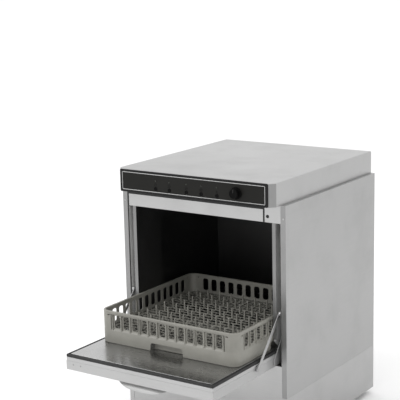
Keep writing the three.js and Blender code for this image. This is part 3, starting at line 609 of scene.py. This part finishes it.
def make_console():
    """Black rim, bright bead and printed film, with the keys, their lamp holes and the knob."""
    low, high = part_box("console_bezel")
    film_low, film_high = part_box("fascia_panel")
    bead = 2.0 * MM
    gap = 0.3 * MM
    plate_front = low.y + 1 * MM
    bead_low = (film_low.x - gap - bead, film_low.z - gap - bead)
    bead_high = (film_high.x + gap + bead, film_high.z + gap + bead)
    rim_low = Vector((low.x, plate_front, low.z))
    rim = framed_plate("console_rim", rim_low, high, bead_low, bead_high, 4 * MM, 3 * MM)
    place(soften(rim, 0.9 * MM, 3), "rim", replaces=("console_bezel",))
    strip = framed_plate(
        "console_bead",
        Vector((bead_low[0], low.y, bead_low[1])),
        Vector((bead_high[0], high.y, bead_high[1])),
        (film_low.x - gap, film_low.z - gap), (film_high.x + gap, film_high.z + gap), 3 * MM, 1.2 * MM)
    place(soften(strip, 0.8 * MM, 3), "steel_x", slot="steel")
    outline = rounded_outline((film_low.x, film_low.z), (film_high.x, film_high.z), 1.2 * MM)
    film = prism("console_film", "Y", outline, (film_low.y, film_high.y))

    def hole(x, z, radius):
        reach = 10 * MM
        return turned("hole", "Y", (x, z), [(radius, low.y - reach), (radius, high.y + reach)], 32)

    holes = []
    lamp = middle("pilot_light_bar")
    for i in range(1, KEYS + 1):
        key = middle(f"push_key_{i}")
        holes.append(hole(key.x, key.z, 6.4 * MM))
        holes.append(hole(key.x, lamp.z, 2.4 * MM))
    knob = middle("selector_knob")
    holes.append(hole(knob.x, knob.z, 4.5 * MM))
    cut(film, holes)
    place(soften(film, 0.25 * MM, 2), "fascia", replaces=("fascia_panel",))
    front = film_low.y
    for i in range(1, KEYS + 1):
        make_key(i, front)
    make_knob(front)


def printed(name, outline, front):
    """Printed shape, a tenth of a millimetre proud of the film's front."""
    return prism(name, "Y", outline, (front - 0.12 * MM, front + 0.05 * MM))


def printed_ring(name, centre, radius, width, front, start, end):
    """Ring or arc between two angles in degrees."""
    steps = 40
    outside = arc(centre, radius + width / 2, start, end, steps)
    inside = arc(centre, radius - width / 2, end, start, steps)
    return printed(name, outside + inside, front)


def printed_bar(name, centre, size, front, turn=0.0):
    """Rectangle turned about its middle by an angle in degrees."""
    c, s = math.cos(math.radians(turn)), math.sin(math.radians(turn))
    outline = []
    for sx, sy in ((-1, -1), (1, -1), (1, 1), (-1, 1)):
        u, v = sx * size[0] / 2, sy * size[1] / 2
        outline.append((centre[0] + u * c - v * s, centre[1] + u * s + v * c))
    return printed(name, outline, front)


def icon_parts(kind, x, z, front):
    """Plain signs for power, short, medium and long wash, and drain."""
    line = 0.9 * MM
    if kind == 0:
        return [printed_ring("p", (x, z), 4.2 * MM, line, front, 120, 420),
                printed_bar("p", (x, z + 3.4 * MM), (line, 5 * MM), front)]
    if kind in (1, 2, 3):
        parts = [printed_ring("p", (x, z), 4.6 * MM, 0.7 * MM, front, 0, 359.9)]
        for n in range(kind):
            offset = (n - (kind - 1) / 2) * 2.4 * MM
            parts.append(printed_bar("p", (x + offset, z), (line, 4.2 * MM), front))
        return parts
    return [printed_bar("p", (x, z - 3.6 * MM), (8 * MM, line), front),
            printed_bar("p", (x - 1.3 * MM, z), (4 * MM, line), front, -50),
            printed_bar("p", (x + 1.3 * MM, z), (4 * MM, line), front, 50),
            printed_bar("p", (x, z + 2.4 * MM), (line, 5 * MM), front)]


def make_key(i, front):
    """Domed cap with a flange behind the film, and the sign above it."""
    node = f"push_key_{i}"
    low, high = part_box(node)
    c = middle(node)
    r = 6 * MM
    flange = front + 3.3 * MM
    profile = [(AXIS, low.y + 0.5 * MM), (r * 0.6, low.y + 0.38 * MM), (r * 0.82, low.y + 0.08 * MM),
               (r * 0.9, low.y), (r * 0.98, low.y + 0.25 * MM), (r, low.y + 0.8 * MM), (r, flange),
               (7.5 * MM, flange), (7.5 * MM, flange + 1.5 * MM), (r, flange + 1.5 * MM), (r, high.y),
               (AXIS, high.y)]
    place(turned(f"key_cap_{i}", "Y", (c.x, c.z), profile, 40, 50), "knob", BODY_OF[node], (node,))
    sign = joined(f"console_sign_{i}", icon_parts(i - 1, c.x, c.z + 12.5 * MM, front))
    place(sign, "print", slot="fascia")


def make_knob(front):
    """Fluted grip with a dished face, on a round skirt, with a pointer and ten dial ticks."""
    low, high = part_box("selector_knob")
    c = middle("selector_knob")
    base = front - 0.8 * MM
    face = low.y + 1 * MM
    grip = 15.6 * MM
    flutes, flute_depth = 18, 0.55 * MM
    rings = []
    sides = 96
    # each station holds (place along the axis, share of the radius, share of the flutes' depth)
    stations = (
        (base, 1.0, 1.0), (face + 2.2 * MM, 0.97, 1.0), (face + 0.8 * MM, 0.93, 0.6),
        (face, 0.86, 0.0), (face + 0.5 * MM, 0.70, 0.0), (face + 0.6 * MM, 0.02, 0.0),
    )
    for place_y, scale, depth in stations:
        ring = []
        for i in range(sides):
            t = 2 * math.pi * i / sides
            flute = flute_depth * depth * max(0.0, math.cos(flutes * t))
            r = grip * scale - flute
            ring.append((c.x + r * math.cos(t), place_y, c.z + r * math.sin(t)))
        rings.append(ring)
    body = skin("knob_grip", rings, smooth_angle=40)
    skirt = turned("knob_skirt", "Y", (c.x, c.z), [
        (AXIS, base + 0.4 * MM), (19 * MM, base + 0.4 * MM), (19 * MM, base - 1.6 * MM),
        (18.4 * MM, base - 2.5 * MM), (15.4 * MM, base - 2.9 * MM), (AXIS, base - 2.9 * MM)], 72, 40)
    spindle = turned("knob_spindle", "Y", (c.x, c.z), [(3 * MM, base), (3 * MM, high.y)], 24)
    place(joined("knob", [body, skirt, spindle]), "knob", "knob", ("selector_knob",))
    line = rounded_outline((c.x - 0.9 * MM, c.z + 3 * MM), (c.x + 0.9 * MM, c.z + 13.6 * MM), 0.8 * MM, 4)
    pointer = prism("knob_pointer", "Y", line, (face - 0.35 * MM, face + 1.2 * MM))
    place(soften(pointer, 0.15 * MM), "mark", "knob", slot="black_plastic")
    ticks = []
    dial = 22 * MM
    for step in range(10):
        t = math.radians(90 - 30 * step)
        at = (c.x + dial * math.cos(t), c.z + dial * math.sin(t))
        ticks.append(printed_bar("tick", at, (2.6 * MM, 0.8 * MM), front, math.degrees(t)))
    place(joined("console_dial_ticks", ticks), "print", slot="fascia")


# ---------------------------------------------------------------- door
def make_door():
    """Two skins with the seal between them, the pull, and the hinge arms, pins and stays."""
    refined("door_outer_skin", "steel_x", 0.9 * MM, 3)
    refined("door_inner_skin", "steel_door_inside", 0.7 * MM, 2)
    make_seal()
    make_door_plugs()
    make_handle()
    for side in ("left", "right"):
        refined("hinge_arm_" + side, "cast", 0.5 * MM, 2)
        make_hinge_pin(side)
        make_stay(side)


def make_door_plugs():
    """Two shallow caps in the door's front edge."""
    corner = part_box("door_outer_skin")[0]
    front, back = corner.y - 0.1 * MM, corner.y + 1 * MM
    profile = [(AXIS, front), (2.3 * MM, front), (2.9 * MM, corner.y - 0.02 * MM), (2.9 * MM, back),
               (AXIS, back)]
    for n, x in enumerate((corner.x + 27 * MM, corner.x + 55 * MM)):
        plug = turned(f"door_plug_{n}", "Y", (x, corner.z + 18 * MM), profile, 28, 30)
        place(plug, "steel_corner_painted_shade", "door", slot="steel")


def three_sided(name, low, high, width, z):
    """Strip along the front, left and right edges of a rectangle, with rounded outer corners."""
    r = 3 * MM
    outline = ([(high.x, high.y), (high.x - width, high.y), (high.x - width, low.y + width)]
               + [(low.x + width, low.y + width), (low.x + width, high.y), (low.x, high.y)]
               + arc((low.x + r, low.y + r), r, 180, 270, 6) + arc((high.x - r, low.y + r), r, 270, 360, 6))
    return prism(name, "Z", outline, z)


def make_seal():
    """Gasket on a stepped steel lip: the lip carries on the outer skin's walls."""
    low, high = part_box("door_seal")
    step = high.z - 8.5 * MM
    lip = three_sided("door_lip", low, high, 9.6 * MM, (low.z - 0.2 * MM, step))
    place(soften(lip, 0.5 * MM), "steel_x", "door", slot="steel")
    seal = three_sided("door_gasket", low, high, 10 * MM, (step + 0.2 * MM, high.z))
    place(soften(seal, 2.4 * MM, 4), "rubber", "door", ("door_seal",))
    groove = three_sided("groove", low + Vector((3.6, 3.6, 0)) * MM, high - Vector((3.6, -1, 0)) * MM,
                         2.6 * MM, (high.z - 0.9 * MM, high.z + 1 * MM))
    cut(seal, [groove])


def make_handle():
    """Folded pull: its lip is deepest in the middle and runs out towards both ends."""
    low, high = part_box("door_handle")
    thick = 2 * MM
    bend = 44 * MM
    end_share = 0.42
    top = high.z - thick / 2
    centre = (low.y + 42 * MM, top - bend)
    line = [(high.y, top), (high.y - 10 * MM, top)]
    line += arc(centre, bend, 90, 150, 28)
    line += [(low.y + thick * 0.4, low.z + thick * 0.6)]
    lengths = [0.0]
    for a, b in zip(line, line[1:]):
        lengths.append(lengths[-1] + math.dist(a, b))

    def along(distance):
        """The point of the sheet's middle line at a distance from its start."""
        for k in range(1, len(line)):
            if distance <= lengths[k] or k == len(line) - 1:
                t = (distance - lengths[k - 1]) / (lengths[k] - lengths[k - 1])
                return Vector(line[k - 1]).lerp(Vector(line[k]), min(1.0, t))

    rings = []
    stations = 48
    half = (high.x - low.x) / 2
    points = 36
    for station in range(stations + 1):
        u = -1 + 2 * station / stations
        share = end_share + (1 - end_share) * (1 - abs(u) ** 3.2)
        path = [along(lengths[-1] * share * k / points) for k in range(points + 1)]
        left, right = [], []
        for k, p in enumerate(path):
            run = path[min(points, k + 1)] - path[max(0, k - 1)]
            normal = Vector((-run.y, run.x)).normalized() * thick / 2
            left.append((half * u, *(p + normal)))
            right.append((half * u, *(p - normal)))
        rings.append(left + right[::-1])
    pull = skin("door_pull", rings, smooth_angle=50)
    place(soften(pull, 0.6 * MM, 2, 60), "steel_x", "door", ("door_handle",))


def make_hinge_pin(side):
    """Round pin with a flat head at its inner end."""
    node = "hinge_pin_" + side
    low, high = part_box(node)
    c = middle(node)
    near, far = (low.x, high.x) if side == "right" else (high.x, low.x)
    s = 1 if side == "right" else -1
    head, shank, chamfer = 9 * MM, 6 * MM, 0.8 * MM
    profile = [(AXIS, near), (head - chamfer, near), (head, near + s * chamfer), (head, near + s * 3 * MM),
               (shank, near + s * 3.05 * MM), (shank, far - s * chamfer), (shank - chamfer, far), (AXIS, far)]
    place(turned("look_" + node, "X", (c.y, c.z), profile, 48), "cast", BODY_OF[node], (node,))


def make_stay(side):
    """Flat bar with a rivet at its door end and a roller at the end that runs in the channel."""
    node = "door_stay_" + side
    low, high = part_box(node)
    s = 1 if side == "right" else -1
    inner = low.x if side == "right" else high.x
    flat = (inner + s * 3.9 * MM, inner + s * 6.4 * MM)
    half_width, roller_radius = 5.5 * MM, 7 * MM
    start = Vector((low.y + half_width, low.z + half_width))
    end = Vector((high.y - roller_radius, high.z - roller_radius))
    lean = math.degrees(math.atan2(end.y - start.y, end.x - start.x))
    outline = (arc(start, half_width, lean + 90, lean + 270, 16)
               + arc(end, half_width, lean - 90, lean + 90, 16))
    bar = prism("bar", "X", outline, sorted(flat))
    soften(bar, 0.5 * MM, 2, 50)
    bpy.context.view_layer.update()
    applied(bar)
    rivet = [(radius * MM, inner + s * depth * MM) for radius, depth in (
        (0.1, 0), (4, 0), (4, 7.2), (3.2, 8.1), (0.1, 8.2))]
    roller = [(radius * MM, inner + s * depth * MM) for radius, depth in (
        (0.1, 5.7), (6.4, 5.7), (7, 6.3), (7, 11.1), (6.4, 11.7), (0.1, 11.7))]
    pieces = [bar, turned("rivet", "X", start, rivet, 32), turned("roller", "X", end, roller, 40)]
    place(joined("look_" + node, pieces), "steel_y", BODY_OF[node], (node,))


# ---------------------------------------------------------------- rack
RACK_CORNER = 28 * MM
RACK_SLOTS = 12
RACK_PITCH = 34 * MM
# how far the part of a side that is set back runs from the side's middle
RACK_RECESS = RACK_PITCH * RACK_SLOTS / 2 + 4 * MM
# lower part of the wall's section, as (offset inwards, height) in millimetres
RACK_FOOT = ((0, 1.2), (0.8, 0), (2.4, 0), (2.8, 1), (2.8, 37), (8.2, 39.5), (8.2, 41.5), (7.4, 43))
RACK_FLOOR = 36 * MM
RIM_PIP = 1.3 * MM
# the ribs this many slots from a side's middle come in pairs
DOUBLE_RIB = 3


def square_path(half, corner, stops):
    """Rounded square as (point, outward normal, distance from the middle of its side)."""
    steps = 8
    path = []
    reach = half - corner
    for turn in range(4):
        spin = Matrix.Rotation(math.radians(90 * turn), 2)
        for t in (-reach, *stops, reach):
            path.append((spin @ Vector((half, t)), spin @ Vector((1, 0)), abs(t)))
        for i in range(1, steps):
            t = math.pi / 2 * i / steps
            n = Vector((math.cos(t), math.sin(t)))
            path.append((spin @ (Vector((reach, reach)) + n * corner), spin @ n, half))
    return path


def swept_wall(name, centre, half, corner, stops, section_at):
    """Closed cross-section, as (offset inwards, height), carried round the rounded square."""
    rings = []
    for p, n, along in square_path(half, corner, stops):
        ring = []
        for inward, z in section_at(along):
            ring.append((centre.x + p.x - n.x * inward, centre.y + p.y - n.y * inward, z))
        rings.append(ring)
    return skin(name, rings, closed_path=True, smooth_angle=40)


def rack_sides(c):
    """The four side walls as (axis across the wall, middle along it, middle across it, outward sign)."""
    for side in (-1, 1):
        yield "Y", c.x, c.y, side
        yield "X", c.y, c.x, side


def put_rack(name, pieces, bevel=0.0):
    """Joins pieces that belong to the rack but stand for no node of their own."""
    obj = joined(name, pieces)
    if bevel:
        soften(obj, bevel)
    place(obj, "rack", "rack", slot="rack_plastic")


def rack_cutters(c, half, z, top):
    """Upright slots, a small hole near each corner, and the notch for the grip, on all four sides."""
    cutters = []
    slot_reach, hole_reach = 12 * MM, 10 * MM
    slot_low, slot_high = z + 48.5 * MM, top - 14 * MM
    half_slot = RACK_PITCH * 0.31
    for i in range(RACK_SLOTS):
        u = (i - (RACK_SLOTS - 1) / 2) * RACK_PITCH
        for axis, mid, centre, side in rack_sides(c):
            wall_at = centre + side * half
            slot = rounded_outline((mid + u - half_slot, slot_low), (mid + u + half_slot, slot_high),
                                   half_slot * 0.62, 5)
            cutters.append(prism("slot", axis, slot, (wall_at - slot_reach, wall_at + slot_reach)))
    corner_hole = RACK_RECESS + 9 * MM
    for axis, mid, centre, side in rack_sides(c):
        wall_at = centre + side * half
        span = (wall_at - hole_reach, wall_at + hole_reach)
        for end in (-1, 1):
            u = mid + end * corner_hole
            hole = rounded_outline((u - 4.5 * MM, top - 15.5 * MM), (u + 4.5 * MM, top - 11.5 * MM),
                                   1 * MM, 3)
            cutters.append(prism("hole", axis, hole, span))
        notch = [(mid - 61 * MM, z - 5 * MM), (mid + 61 * MM, z - 5 * MM), (mid + 61 * MM, z),
                 *arc((mid + 51 * MM, z + 17 * MM), 8 * MM, 0, 90, 6),
                 *arc((mid - 51 * MM, z + 17 * MM), 8 * MM, 90, 180, 6), (mid - 61 * MM, z)]
        cutters.append(prism("notch", axis, notch, span))
    return cutters


def make_rack():
    """Moulded basket: slotted wall, ribs, rim pips, grip pockets, and a floor grid with pegs."""
    low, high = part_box("dish_rack")
    c = middle("dish_rack")
    half = (high.x - low.x) / 2
    z = low.z
    top = high.z
    rim = top - RIM_PIP

    def section_at(along):
        """The slotted part of each side is set back; the corners are flush."""
        step, back = (0.8 * MM, 5.2 * MM) if along <= RACK_RECESS + 0.1 * MM else (0.3 * MM, 0.3 * MM)
        section = [(inward * MM, z + height * MM) for inward, height in RACK_FOOT]
        section += [
            (7.4 * MM, top - 8 * MM), (7.4 * MM, rim - 1 * MM), (6.4 * MM, rim), (1 * MM, rim),
            (0, rim - 1 * MM), (0, top - 9.6 * MM), (step, top - 10.6 * MM), (back, top - 11.2 * MM),
            (back, z + 49 * MM), (back, z + 46.2 * MM), (step, z + 41.6 * MM), (0, z + 40.6 * MM),
        ]
        return section

    outer_stop = RACK_RECESS + 1.5 * MM
    stops = (-outer_stop, -RACK_RECESS, RACK_RECESS, outer_stop)
    wall = swept_wall("rack_wall", c, half, RACK_CORNER, stops, section_at)
    cut(wall, rack_cutters(c, half, z, top))
    soften(wall, 0.5 * MM, 2, 45)
    place(wall, "rack", "rack", ("dish_rack",))
    make_rack_ribs(c, half, z, top)
    make_rack_floor(c, half, z)


def make_rack_ribs(c, half, z, top):
    """Footed rib between every two slots, a pair of them at two places; rim pips and grip pockets."""
    places = []
    for k in range(-RACK_SLOTS // 2, RACK_SLOTS // 2 + 1):
        offsets = (-2.4 * MM, 2.4 * MM) if abs(k) == DOUBLE_RIB else (0.0,)
        places += [k * RACK_PITCH + offset for offset in offsets]
    foot, knee, head = z + 41.5 * MM, z + 48 * MM, top - 10.5 * MM
    ribs = []
    for place_along in places:
        for axis, mid, centre, side in rack_sides(c):
            u = mid + place_along
            outline = [(u - 3.4 * MM, foot), (u + 3.4 * MM, foot), (u + 1.3 * MM, knee),
                       (u + 1.1 * MM, head), (u - 1.1 * MM, head), (u - 1.3 * MM, knee)]
            span = sorted((centre + side * (half - 0.6 * MM), centre + side * (half - 6 * MM)))
            ribs.append(prism("rib", axis, outline, span))
    put_rack("rack_ribs", ribs, 0.35 * MM)
    pip_profile = [(1.9 * MM, top - 2.6 * MM), (1.7 * MM, top - 0.5 * MM), (0.9 * MM, top)]
    pip_pitch = 62 * MM
    pips = []
    for k in range(-3, 4):
        for side in (-1, 1):
            u, edge = k * pip_pitch, side * (half - 2.8 * MM)
            for x, y in ((c.x + u, c.y + edge), (c.x + edge, c.y + u)):
                pips.append(turned("pip", "Z", (x, y), pip_profile, 14, 50))
    put_rack("rack_rim_pips", pips)
    pockets = []
    for axis, mid, centre, side in rack_sides(c):
        outline = [(mid - 60 * MM, z + 0.4 * MM), (mid + 60 * MM, z + 0.4 * MM),
                   (mid + 60 * MM, z + 35 * MM), (mid - 60 * MM, z + 35 * MM)]
        span = sorted((centre + side * (half - 22 * MM), centre + side * (half - 24.5 * MM)))
        pockets.append(prism("pocket", axis, outline, span))
    put_rack("rack_grip_pockets", pockets, 0.6 * MM)


def make_rack_floor(c, half, z):
    """Open grid of bars, with the pegs that hold plates up."""
    level = z + RACK_FLOOR
    reach = half - 2.9 * MM
    pitch = 23 * MM
    cells = 20
    bars = []
    for i in range(cells + 1):
        u = (i - cells / 2) * pitch
        main = i % 4 == 0
        wide = (2.2 if main else 1.1) * MM
        deep = (0 if main else 1.4) * MM
        inset = 10 * MM if abs(u) > half - 26 * MM else 0
        bars.append(block("bar", (c.x + u - wide, c.y - reach + inset, level + deep),
                          (c.x + u + wide, c.y + reach - inset, level + 4 * MM)))
        bars.append(block("bar", (c.x - reach + inset, c.y + u - wide, level + deep),
                          (c.x + reach - inset, c.y + u + wide, level + 4 * MM)))
    put_rack("rack_grid", bars)
    peg_profile = [(3.6 * MM, level + 3.5 * MM), (3.2 * MM, level + 8 * MM), (2.5 * MM, level + 32 * MM),
                   (2.0 * MM, level + 35 * MM), (0.9 * MM, level + 36.5 * MM)]
    pegs = []
    for row in range(-4, 5):
        for column in range(-4, 5):
            x, y = c.x + column * 2 * pitch, c.y + row * 2 * pitch
            pegs.append(turned("peg", "Z", (x, y), peg_profile, 12, 50))
    put_rack("rack_pegs", pegs)


# ---------------------------------------------------------------- cabinet and fittings
SHELL = ("base_tray", "base_skirt", "lower_front_panel", "upper_front_panel", "rear_panel")


def make_cabinet():
    """Folded panels, the wash chamber, the feet, and the screws of the rear panel and the posts."""
    for node in SHELL:
        refined(node, "steel_x", 0.5 * MM)
    for side in ("left", "right"):
        panel = refined("side_panel_" + side, "steel_y", 0.8 * MM)
        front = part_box("side_panel_" + side)[0].y
        # painted shade: the side panels' front faces get the darker post steel
        repaint(panel, "steel_post_painted_shade", lambda c, n: n.y < -0.9 and c.y < front + 2 * MM)
    make_panel_painted_shadow()
    make_chamber()
    for node in ("foot_front_left", "foot_front_right", "foot_rear_left", "foot_rear_right"):
        make_foot(node)
    low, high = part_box("side_panel_right")
    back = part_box("rear_panel")[1].y
    for side, letter in ((-1, "l"), (1, "r")):
        for n, z in enumerate((low.z + 30 * MM, (low.z + high.z) / 2, high.z - 26 * MM)):
            screw(f"rear_screw_{n}_{letter}", "Y", (side * (high.x - 14 * MM), z), back, 1)
        screw(f"post_screw_{letter}", "Y", (side * (high.x - 8 * MM), high.z - 40 * MM), low.y, -1, 3 * MM)


def make_panel_painted_shadow():
    """Black strip of painted shadow that outlines the bright upper front panel: it stands for the shadow
    under the console and the shadow gaps beside the panel.
    """
    low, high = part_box("upper_front_panel")
    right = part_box("door_sensor")[0].x - 3 * MM
    span = (low.y - 1.0 * MM, low.y - 0.02 * MM)
    edge = 5 * MM
    left = low.x + 0.5 * MM
    top = high.z - 1 * MM
    underside = high.z - 17 * MM
    outline = [(left, low.z), (left + edge, low.z), (left + edge, underside), (right - edge, underside),
               (right - edge, low.z), (right, low.z), (right, top), (left, top)]
    painted_shadow = prism("upper_panel_painted_shadow", "Y", outline, span)
    # painted shadow: the strip takes the black rubber look
    place(soften(painted_shadow, 0.3 * MM), "rubber", slot="rubber")


def make_chamber():
    """Wash chamber: painted shade inside, where its steel is made very dark; painted shade on the jambs too,
    in a lighter steel; and painted light in the channels that the stays run in.
    """
    low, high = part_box("wash_chamber")
    jamb = high.x - 30 * MM
    jamb_back = low.y + 4 * MM
    channel_back = low.y + 130 * MM
    # painted shade: the chamber takes the very dark chamber steel
    chamber = refined("wash_chamber", "chamber", 0.4 * MM, is_pierced=lambda face: abs(face.normal.y) > 0.99)
    bm = bmesh.new()
    bm.from_mesh(chamber.data)
    bmesh.ops.bisect_plane(bm, geom=bm.verts[:] + bm.edges[:] + bm.faces[:],
                           plane_co=(0, channel_back, 0), plane_no=(0, 1, 0))
    bm.to_mesh(chamber.data)
    bm.free()

    def is_painted_light_channel(c, n):
        beyond = abs(c.x) > jamb + 2 * MM or (n.x * c.x > 0 and abs(c.x) > jamb - 4 * MM)
        return jamb_back < c.y < channel_back and abs(n.x) > 0.9 and beyond

    # painted shade: the jamb fronts get the darker jamb steel
    repaint(chamber, "steel_jamb_painted_shade", lambda c, n: c.y < jamb_back)
    # painted light: the channel faces get the bright matt steel
    repaint(chamber, "channel", is_painted_light_channel)


def make_foot(node):
    """Round foot on its threaded stem."""
    low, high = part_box(node)
    c = middle(node)
    profile = [(AXIS, low.z), (19 * MM, low.z), (21 * MM, low.z + 0.8 * MM), (22 * MM, low.z + 2.4 * MM),
               (22 * MM, low.z + 6 * MM), (21 * MM, low.z + 7.4 * MM), (15 * MM, low.z + 10 * MM),
               (9 * MM, low.z + 11 * MM), (9 * MM, high.z), (AXIS, high.z)]
    place(turned("look_" + node, "Z", (c.x, c.y), profile, 48, 40), "black", replaces=(node,))


def nozzles(node, count, reach, radius, upward):
    """Small spray jets along both halves of an arm's face."""
    low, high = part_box(node)
    c = middle(node)
    s = 1 if upward else -1
    level = (high.z if upward else low.z) - s * 1.0 * MM
    profile = [(radius, level - s * 0.6 * MM), (radius, level + s * 0.4 * MM),
               (radius * 0.75, level + s * 0.9 * MM), (radius * 0.5, level + s * 0.6 * MM),
               (radius * 0.3, level - s * 0.3 * MM)]
    first, run = 45 * MM, reach - 60 * MM
    jets = []
    for i in range(count):
        for side in (-1, 1):
            x = c.x + side * (first + run * i / (count - 1))
            jets.append(turned("jet", "Z", (x, c.y), profile, 20, 40))
    place(joined(f"jets_{node}", jets), "grey_plastic", BODY_OF[node], slot="grey_plastic")


def make_fittings():
    """Every node that no piece stands for yet, and the jets of the spray arms."""
    looks = {
        "wash_arm_lower": "arm", "wash_arm_upper": "arm", "rinse_arm_lower": "arm", "rinse_arm_upper": "arm",
        "lower_spindle": "arm", "upper_spindle": "arm", "tank_filter": "mesh", "sump_filter": "mesh",
        "rinse_boiler": "steel_y",
    }
    already = {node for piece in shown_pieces() for node in piece.get("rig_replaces", [])}
    for node, slot in SLOT_OF.items():
        if node not in already:
            look = looks.get(node, LOOK_OF_SLOT[slot])
            refined(node, look, 0.0 if node == "tank_filter" else 0.4 * MM)
    for level in ("lower", "upper"):
        nozzles("wash_arm_" + level, 5, 220 * MM, 4.5 * MM, level == "lower")
    for level in ("lower", "upper"):
        nozzles("rinse_arm_" + level, 6, 210 * MM, 2.2 * MM, level == "lower")


# ---------------------------------------------------------------- assembly
make_camera()
make_surroundings()
make_cover()
make_console()
make_door()
make_rack()
make_cabinet()
make_fittings()
